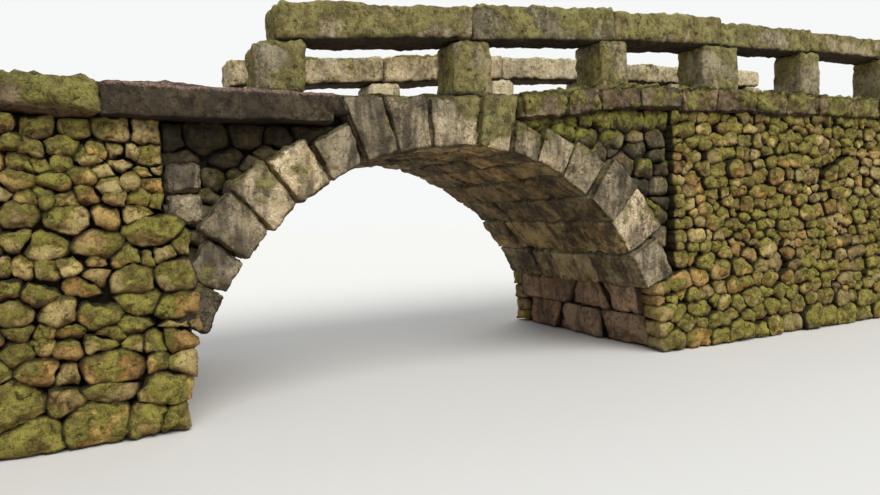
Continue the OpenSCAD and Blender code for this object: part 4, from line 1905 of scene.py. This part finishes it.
@dataclass
class Spandrels:
    """The recessed rubble between the ring's back and the edge stones.

    Attributes:
        survey: The bridge's main lines.
        ring: The arch ring that the spandrels stand on.
        seed: Number that fixes the stones.
        coursing: How the rubble is laid.
        wear: How its stones have worn.
        recess: How far its face stands back from the ring's.
        overlap: How far it runs on behind the ring's back and the abutment's top.
        packing_depth: How far the packing, painted in shade, lies behind the face.
        squared: Foot, head and tone of each squared block at the left spandrel's outer end.
        squared_gap: How far they lie from the wing wall.
        squared_width: Lower and upper corner of their right side, as seen from the left side's.
        squared_depth: How far their outer and inner sides lie behind the arch's face.
    """

    survey: Survey
    ring: ArchRing
    seed: int = 57
    coursing: Coursing = Coursing(foot=0.16, head=0.13, length=(0.9, 2.0), gap=-0.006, stray=0.2, proud=0.03)
    wear: Wear = Wear(radius=0.04, dent=0.02, dent_size=0.14, rough=0.01, rough_size=0.05, chip=0.016,
                      bulge=0.016,
                      moss=Mossing(level=0.1, facing=0.5, patch=0.7, thickness=0.03, cushion=0.09))
    recess: float = 0.055
    overlap: float = 0.03
    packing_depth: float = 0.1
    squared: tuple[tuple[float, float, Tone], ...] = ((1.25, 1.43, Tone.DULL), (1.44, 1.63, Tone.DARK))
    squared_gap: float = 0.015
    squared_width: tuple[tuple[float, float], tuple[float, float]] = ((0.215, 0.012), (0.205, 0.006))
    squared_depth: tuple[float, float] = (0.012, 0.25)

    def __post_init__(self) -> None:
        """Make the settings: shade under the slab on the left, and moss under the cornice on the right."""
        self.settings = {
            End.LEFT: Setting(shelter=lambda points: 0.5 + 0.45 * self.under(points)),
            End.RIGHT: Setting(moss=lambda points: 0.9 * self.under(points) ** 3 - 0.1),
        }

    def under(self, points: Array) -> Array:
        """How near points are to the edge stones over them."""
        return smooth(points[:, 2] - self.survey.seat_z(points[:, 0]), -0.5, -0.06)

    def on_face(self, face: Face, along: Array, z: Array, depth: Array) -> Array:
        """Points of a spandrel's face, which stands back from the ring's."""
        return np.stack([along, face.value * (self.survey.half_w - self.recess - depth), z], axis=-1)

    def limits(self, left: float, right: float, middles: Array) -> list[Limit]:
        """The edges of a spandrel: its ends, the abutment's top, the edge stones' seat and the ring's back.

        Args:
            left: Its left end.
            right: Its right end.
            middles: The stones' middles.

        Returns:
            The edges.
        """
        arm = self.ring.centre - middles
        arm /= np.linalg.norm(arm, axis=1, keepdims=True)
        x, z = middles.T
        foot = z - self.survey.skew_top + self.overlap
        return Limit.box(x - left, right - x, foot, self.survey.seat_z(x) - z) + [
            Limit(arm, self.ring.outside(middles) + self.overlap),
        ]

    def squared_block(self, face: Face, low: float, high: float, tone: Tone) -> Skin:
        """A squared block at the left spandrel's outer end, which comes up to the ring's own face.

        Args:
            face: The side of the bridge that it is on.
            low: Height of its foot.
            high: Height of its head.
            tone: How light it is.

        Returns:
            Its skin.
        """
        start = -self.survey.wing_x[End.LEFT] + self.squared_gap
        side = np.array([[start, low], [start, high]])
        outer, inner = (face.value * (self.survey.half_w - depth) for depth in self.squared_depth)
        corners = prism_corners(np.stack([side, side + self.squared_width]), (outer, inner))
        mason = Mason(self.seed + round(100 * low))
        return mason.blocks(ArchRing.FACE_GRID, corners[None], self.ring.wear, OPEN, tone)

    def build(self, yard: Yard) -> None:
        """Make the four spandrels, and the squared blocks at the left ones.

        Args:
            yard: Where the pieces are put together.
        """
        for end, face in itertools.product(End, Face):
            name = f"{face.word}_{end.word}_spandrel"
            node = CadNode(name)
            left, right = node.points[:, 0].min(), node.points[:, 0].max()
            rubble = RubbleFace(Mason(self.seed + 5 * end.value + face.value), self.coursing,
                                partial(self.on_face, face), partial(self.limits, left, right))
            rubble.lay(left, right, self.survey.skew_top, self.survey.seat_z)
            packing = node.drawn_in({(Y, face.value): self.recess + self.packing_depth})
            stones = rubble.stones(self.wear, self.settings[end])
            yard.place(f"{name}_rubble", Skin.joined([stones, packing]), Slot.SPANDREL, name)
            if end is End.LEFT:
                blocks = Skin.joined([self.squared_block(face, *block) for block in self.squared])
                yard.place(f"{face.word}_left_squared_blocks", blocks, Slot.RING)


@dataclass
class RoadEdges:
    """The edge stones of the road: the long slab and the coping on the left, the cornice blocks on the right.

    Attributes:
        survey: The bridge's main lines.
        seed: Number that fixes the stones.
        slab_wear: How the long slabs have worn.
        coping_wear: How the other stones on the left have worn.
        cornice_wear: How the cornice blocks have worn.
        slab_clean: Height of the slabs' clean face, under the earth that hangs over it.
        cornice_clean: Height of the cornice blocks' clean face.
        stray: How far the left stones' corners stray from their solids'.
        cornice_stray: How far the cornice blocks' corners do.
    """

    survey: Survey
    seed: int = 71
    slab_wear: Wear = Wear(radius=0.012, dent=0.01, dent_size=0.3, rough=0.006, rough_size=0.06, chip=0.012,
                           bulge=0.002, moss=Mossing(level=-0.25, facing=0.7, thickness=0.012))
    coping_wear: Wear = Wear(radius=0.05, dent=0.018, dent_size=0.25, rough=0.01, rough_size=0.06, chip=0.02,
                             bulge=0.014,
                             moss=Mossing(level=0.68, facing=0.4, patch=0.7, thickness=0.036, cushion=0.14))
    cornice_wear: Wear = Wear(radius=0.034, dent=0.026, dent_size=0.2, rough=0.013, rough_size=0.055,
                              chip=0.034, bulge=0.012, joint_dirt_and_shade=0.8,
                              moss=Mossing(level=0.3, facing=0.5, patch=0.9, thickness=0.03, cushion=0.1))
    slab_clean: float = 0.165
    cornice_clean: float = 0.24
    stray: float = 0.004
    cornice_stray: float = 0.009

    LONG_GRID = BlockGrid((64, 14, 10))
    SHORT_GRID = BlockGrid((32, 13, 15))

    def __post_init__(self) -> None:
        """Start the mason, and make the settings of the slabs and of the cornice."""
        self.mason = Mason(self.seed)
        self.slab_setting = Setting(dirt=partial(self.dirty, self.slab_clean))
        self.cornice_setting = Setting(dirt=partial(self.dirty, self.cornice_clean))

    def dirty(self, clean: float, points: Array) -> Array:
        """Earth from the road lies on the edge stones and hangs down to the clean part of their face."""
        return smooth(points[:, 2] - self.survey.seat_z(points[:, 0]), clean - 0.03, clean + 0.06)

    def stone(
        self,
        solid: Array,
        face: Face,
        grid: BlockGrid,
        stray: float,
        wear: Wear,
        setting: Setting = OPEN,
        tone: Tone | None = None,
    ) -> Skin:
        """One edge stone, whose corners stray a little from its solid's.

        Args:
            solid: Points of its solid.
            face: The side of the bridge that it is on.
            grid: Grid of its skin.
            stray: How far its corners stray.
            wear: How it has worn.
            setting: What its place does to it.
            tone: How light it is, or None for any lightness.

        Returns:
            Its skin.
        """
        corners = prism_corners(by_width_and_height(outline(solid)), depth_of(solid, face))
        corners += self.mason.rng.normal(0.0, stray, corners.shape)
        return self.mason.blocks(grid, corners[None], wear, setting, tone)

    def build(self, yard: Yard) -> None:
        """Make the edge slabs and cornices of both faces.

        Args:
            yard: Where the pieces are put together.
        """
        for face in Face:
            name = f"{face.word}_left_edge_slabs"
            *coping, slab = sorted(CadNode(name).solids(), key=lambda p: p[:, 0].mean())
            skins = [self.stone(s, face, self.SHORT_GRID, self.stray, self.coping_wear) for s in coping]
            # The long slab is toned dark as painted shade on its face
            skins.append(self.stone(slab, face, self.LONG_GRID, self.stray, self.slab_wear, self.slab_setting,
                                    Tone.IN_PAINTED_SHADE))
            yard.place(f"{name}_stones", Skin.joined(skins), Slot.EDGE, name)
            name = f"{face.word}_right_cornice"
            skins = [self.stone(s, face, self.SHORT_GRID, self.cornice_stray, self.cornice_wear,
                                self.cornice_setting) for s in CadNode(name).solids()]
            yard.place(f"{name}_stones", Skin.joined(skins), Slot.EDGE, name)


@dataclass
class Railing:
    """The stub posts and the long rail beams on them.

    Attributes:
        survey: The bridge's main lines.
        seed: Number that fixes the stones.
        post_wear: How the posts have worn.
        beam_wear: How the beams have worn.
        post_tones: How light the near posts are, from the left.
        post_taper: Share of its width and depth by which a post's head is drawn in.
        beam_stray: How far the beams' corners stray from their solids'.
        beam_end: How far from a beam's end the corners of that end may lie.
        far_moss: What is added to the moss cover of the far railing, which is barer.
    """

    survey: Survey
    seed: int = 97
    post_wear: Wear = Wear(radius=0.036, dent=0.018, dent_size=0.18, rough=0.01, rough_size=0.055, chip=0.024,
                           bulge=0.01,
                           moss=Mossing(level=0.48, facing=0.4, patch=0.75, thickness=0.014, cushion=0.12))
    beam_wear: Wear = Wear(radius=0.03, dent=0.016, dent_size=0.35, rough=0.01, rough_size=0.06, chip=0.022,
                           bulge=0.004,
                           moss=Mossing(level=0.56, facing=0.5, patch=0.8, thickness=0.015, cushion=0.13))
    post_tones: tuple[Tone, ...] = (Tone.DULL, Tone.DULL, Tone.PALE, Tone.DULL, Tone.DULL, Tone.DARK)
    post_taper: float = 0.05
    beam_stray: float = 0.006
    beam_end: float = 0.06
    far_moss: float = -0.85

    POST_GRID = BlockGrid((16, 16, 14))
    BEAM_GRID = BlockGrid((66, 11, 10), crowd=0.25)

    def __post_init__(self) -> None:
        """Start the mason, and set what differs between the near railing and the far one."""
        self.mason = Mason(self.seed)
        far = Setting(moss=lambda points: np.full(len(points), self.far_moss))
        self.settings = {Face.NEAR: OPEN, Face.FAR: far}
        self.tones = {Face.NEAR: None, Face.FAR: Tone.BRIGHT}

    def post(self, solid: Array, face: Face, tone: Tone) -> Skin:
        """A post: its solid's box, with the head at the heights of the solid's left and right half.

        Args:
            solid: Points of its solid.
            face: The side of the bridge that it is on.
            tone: How light it is on the near side.

        Returns:
            Its skin.
        """
        low, high = solid.min(axis=0), solid.max(axis=0)
        middle = (low + high) / 2
        corners = np.stack(np.meshgrid(*zip(low, high), indexing="ij"), axis=-1)
        upper = solid[solid[:, 2] > middle[2]]
        for k, half in enumerate((upper[upper[:, 0] < middle[0]], upper[upper[:, 0] > middle[0]])):
            corners[k, :, 1, 2] = half[:, 2].max()
        corners[:, :, 1, :2] += self.post_taper * (middle[:2] - corners[:, :, 1, :2])
        return self.mason.blocks(self.POST_GRID, corners[None], self.post_wear, self.settings[face],
                                 self.tones[face] or tone)

    def beam(self, solid: Array, face: Face) -> Skin:
        """A beam between its end outlines.

        Args:
            solid: Points of its solid.
            face: The side of the bridge that it is on.

        Returns:
            Its skin.
        """
        flat = np.empty((2, 2, 2))
        for k, x in enumerate((solid[:, 0].min(), solid[:, 0].max())):
            end = solid[np.abs(solid[:, 0] - x) < self.beam_end]
            flat[k, :, 0] = x
            flat[k, :, 1] = end[:, 2].min(), end[:, 2].max()
        corners = prism_corners(flat, depth_of(solid, face))
        corners += self.mason.rng.normal(0.0, self.beam_stray, corners.shape)
        return self.mason.blocks(self.BEAM_GRID, corners[None], self.beam_wear, self.settings[face],
                                 self.tones[face])

    def build(self, yard: Yard) -> None:
        """Make the posts and beams of both faces.

        Args:
            yard: Where the pieces are put together.
        """
        for face in Face:
            name = f"{face.word}_posts"
            posts = zip(CadNode(name).solids(), self.post_tones)
            skins = [self.post(solid, face, tone) for solid, tone in posts]
            yard.place(f"{name}_stones", Skin.joined(skins), Slot.MOSSY, name)
            for name in sorted(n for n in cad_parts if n.startswith(f"{face.word}_beam_")):
                yard.place(f"{name}_stone", self.beam(CadNode(name).points, face), Slot.MOSSY, name)


@dataclass
class RoadBed:
    """The trodden road between the edge stones, as a sheet of earth with worn and mossy stretches.

    Attributes:
        survey: The bridge's main lines.
        seed: Number that fixes its ruts and lumps.
        thickness: How thick the bed is.
        margin: How far the spilt earth stops short of the arch's face.
        lumps: Height of the road's lumps, and grit that of its fine roughness.
        hollow: How deep the road is worn along its middle.
        spill: Thickness of the spilt earth on the edge stones, and fade what it loses towards the edge.
        ragged: How strongly that thickness varies.
        tuck: How far the spill's rim is tucked into the edge stones.
    """

    survey: Survey
    seed: int = 131
    thickness: float = 0.1
    margin: float = 0.03
    lumps: float = 0.012
    grit: float = 0.004
    hollow: float = 0.016
    spill: float = 0.034
    fade: float = 0.03
    ragged: float = 0.03
    tuck: float = 0.2

    GRID = BlockGrid((300, 46, 1), (Axis.HEIGHT, -1), crowd=0.0)

    def build(self, yard: Yard) -> None:
        """Make the road.

        Between the edge stones its height is the road edge's, less how deep it lies, plus noise, and worn
        hollow along the middle. Over them it climbs to a thin spill of earth that thins out towards the edge.

        Args:
            yard: Where the pieces are put together.
        """
        survey, noise, unit = self.survey, Noise(self.seed), self.GRID.points
        half_y, spill_y = survey.core_y, survey.half_w - self.margin
        sink = survey.road_z(-survey.half_l) - (CadNode("road_bed").points[:, 2].min() + self.thickness)
        x, y = unit[:, 0] * survey.half_l, unit[:, 1] * spill_y
        flat = np.column_stack([x, y, np.zeros(len(x))])
        lump = self.lumps * noise.layered(flat, 0.5, 4, 0.6) + self.grit * noise.layered(flat, 0.06, 2)
        over = smooth(np.abs(y), half_y - 0.09, half_y + 0.05)
        out = smooth(np.abs(y), half_y + 0.1, spill_y)
        worn = self.hollow * (1.0 - (y / spill_y) ** 2)
        near_rim, rim = (np.abs(unit[:, 1]) > limit for limit in (0.95, 0.999))
        spill = self.spill - self.fade * out + self.ragged * noise.layered(flat, 0.28, 3, 0.6)
        spill -= self.tuck * rim
        edge = survey.road_z(x)
        top = edge + (1.0 - over) * (np.clip(lump, -0.02, 0.02) - worn - sink) + over * spill
        bottom = edge - sink - self.thickness
        points = np.column_stack([x, y, np.where(unit[:, 2] > 0, np.maximum(top, bottom + 0.01), bottom)])
        side = smooth(np.abs(y), 0.5 * half_y, half_y)
        moss = smooth(0.5 * side + 0.3 * noise.layered(flat, 0.3, 3), 0.2, 0.8)
        # The sheet's rim is painted shade, darkest on its outermost line
        skin = Skin.plain(points, self.GRID.faces, moss=moss, shade=0.6 * near_rim + 0.35 * rim)
        yard.place("road_earth", skin, Slot.ROAD, "road_bed")


@dataclass(frozen=True)
class Studio:
    """A pale floor, soft light and the camera where the photographer stood.

    Attributes:
        eye: The camera's place.
        yaw: Degrees that it looks to the right of +Y.
        pitch: Degrees that it looks upwards.
        roll: Degrees that it is turned to the right.
        lens: Focal length for the sensor's width, in millimetres.
        sensor: The sensor's width, in millimetres.
        floor_drop: How far the floor lies under the bridge.
        floor_reach: Distance from its middle to its sides.
        pale: The floor's colour to the camera, and lit its colour to the light.
        softness: Degrees across a lamp's disc.
    """

    eye: tuple[float, float, float] = (-2.433, -5.358, 1.288)
    yaw: float = 27.5
    pitch: float = -3.03
    roll: float = -1.375
    lens: float = 27.04
    sensor: float = 36.0
    floor_drop: float = 0.004
    floor_reach: float = 60.0
    pale: Colour = (0.83, 0.83, 0.81)
    lit: Colour = (0.6, 0.57, 0.53)
    softness: float = 50.0

    def camera(self) -> None:
        """Add the camera: its axes are the view, the level line across it and their product, rolled."""
        yaw, pitch, roll = (math.radians(a) for a in (self.yaw, self.pitch, self.roll))
        ahead = Vector((math.sin(yaw) * math.cos(pitch), math.cos(yaw) * math.cos(pitch), math.sin(pitch)))
        across = Vector((math.cos(yaw), -math.sin(yaw), 0.0))
        above = across.cross(ahead)
        right = across * math.cos(roll) + above * math.sin(roll)
        up = above * math.cos(roll) - across * math.sin(roll)
        pose = Matrix((right, up, -ahead)).transposed().to_4x4()
        pose.translation = self.eye
        camera = in_scene("camera", bpy.data.cameras.new("camera"))
        camera.data.lens = self.lens
        camera.data.sensor_width = self.sensor
        camera.matrix_world = pose
        bpy.context.scene.camera = camera

    def floor(self) -> None:
        """Add the floor, which looks pale to the camera and throws less light back on the soffit."""
        mesh = bpy.data.meshes.new("floor")
        ways = ((-1, -1), (1, -1), (1, 1), (-1, 1))
        corners = [(a * self.floor_reach, b * self.floor_reach, -self.floor_drop) for a, b in ways]
        mesh.from_pydata(corners, [], [(0, 1, 2, 3)])
        material, w, shader = new_material("studio_floor", specular=0.1)
        seen = w.node("ShaderNodeLightPath").outputs["Is Camera Ray"]
        w.feed(shader.inputs["Base Color"], w.mix(seen, self.lit, self.pale))
        shader.inputs["Roughness"].default_value = 0.95
        mesh.materials.append(material)
        in_scene("floor", mesh)

    def lamp(self, name: str, place: tuple[float, float, float], strength: float, colour: Colour) -> None:
        """Add a distant lamp with a wide, soft disc, which shines from a place towards the origin.

        Args:
            name: The lamp's name.
            place: Where it shines from.
            strength: How strong it is.
            colour: Its colour.
        """
        lamp = bpy.data.lights.new(name, "SUN")
        lamp.angle = math.radians(self.softness)
        lamp.energy = strength
        lamp.color = colour
        holder = in_scene(name, lamp)
        holder.matrix_world = (-Vector(place)).to_track_quat("-Z", "Y").to_matrix().to_4x4()

    def light(self) -> None:
        """Add the lamps and a pale sky that is bright to the camera and soft on the bridge."""
        self.lamp("key_lamp", (0.15, -1.0, 1.15), 2.1, (1.0, 0.97, 0.92))
        self.lamp("back_lamp", (0.7, 1.0, 1.0), 0.7, (1.0, 0.98, 0.95))
        world = bpy.data.worlds.new("studio")
        world.use_nodes = True
        w = Wiring(world.node_tree)
        sky = world.node_tree.nodes["Background"].inputs
        path = w.node("ShaderNodeLightPath").outputs
        seen = w.math("MAXIMUM", path["Is Camera Ray"], path["Is Glossy Ray"])
        w.feed(sky["Color"], w.mix(seen, (0.93, 0.96, 1.0), (0.93, 0.94, 0.94)))
        w.feed(sky["Strength"], w.total((seen, 0.5), start=0.5))
        bpy.context.scene.world = world

    def build(self) -> None:
        """Set up the whole studio."""
        self.camera()
        self.floor()
        self.light()
        bpy.context.scene.view_settings.view_transform = "Standard"


def main() -> None:
    logging.basicConfig(level=logging.INFO, format="%(message)s")
    Studio().build()
    yard = Yard()
    survey = Survey.read()
    ring = ArchRing(survey)
    sections = (ring, WingWalls(survey), Spandrels(survey, ring), RoadEdges(survey), Railing(survey),
                RoadBed(survey))
    for section in sections:
        section.build(yard)
    log.info("%d triangles in all", yard.triangles)


if __name__ == "__main__":
    main()
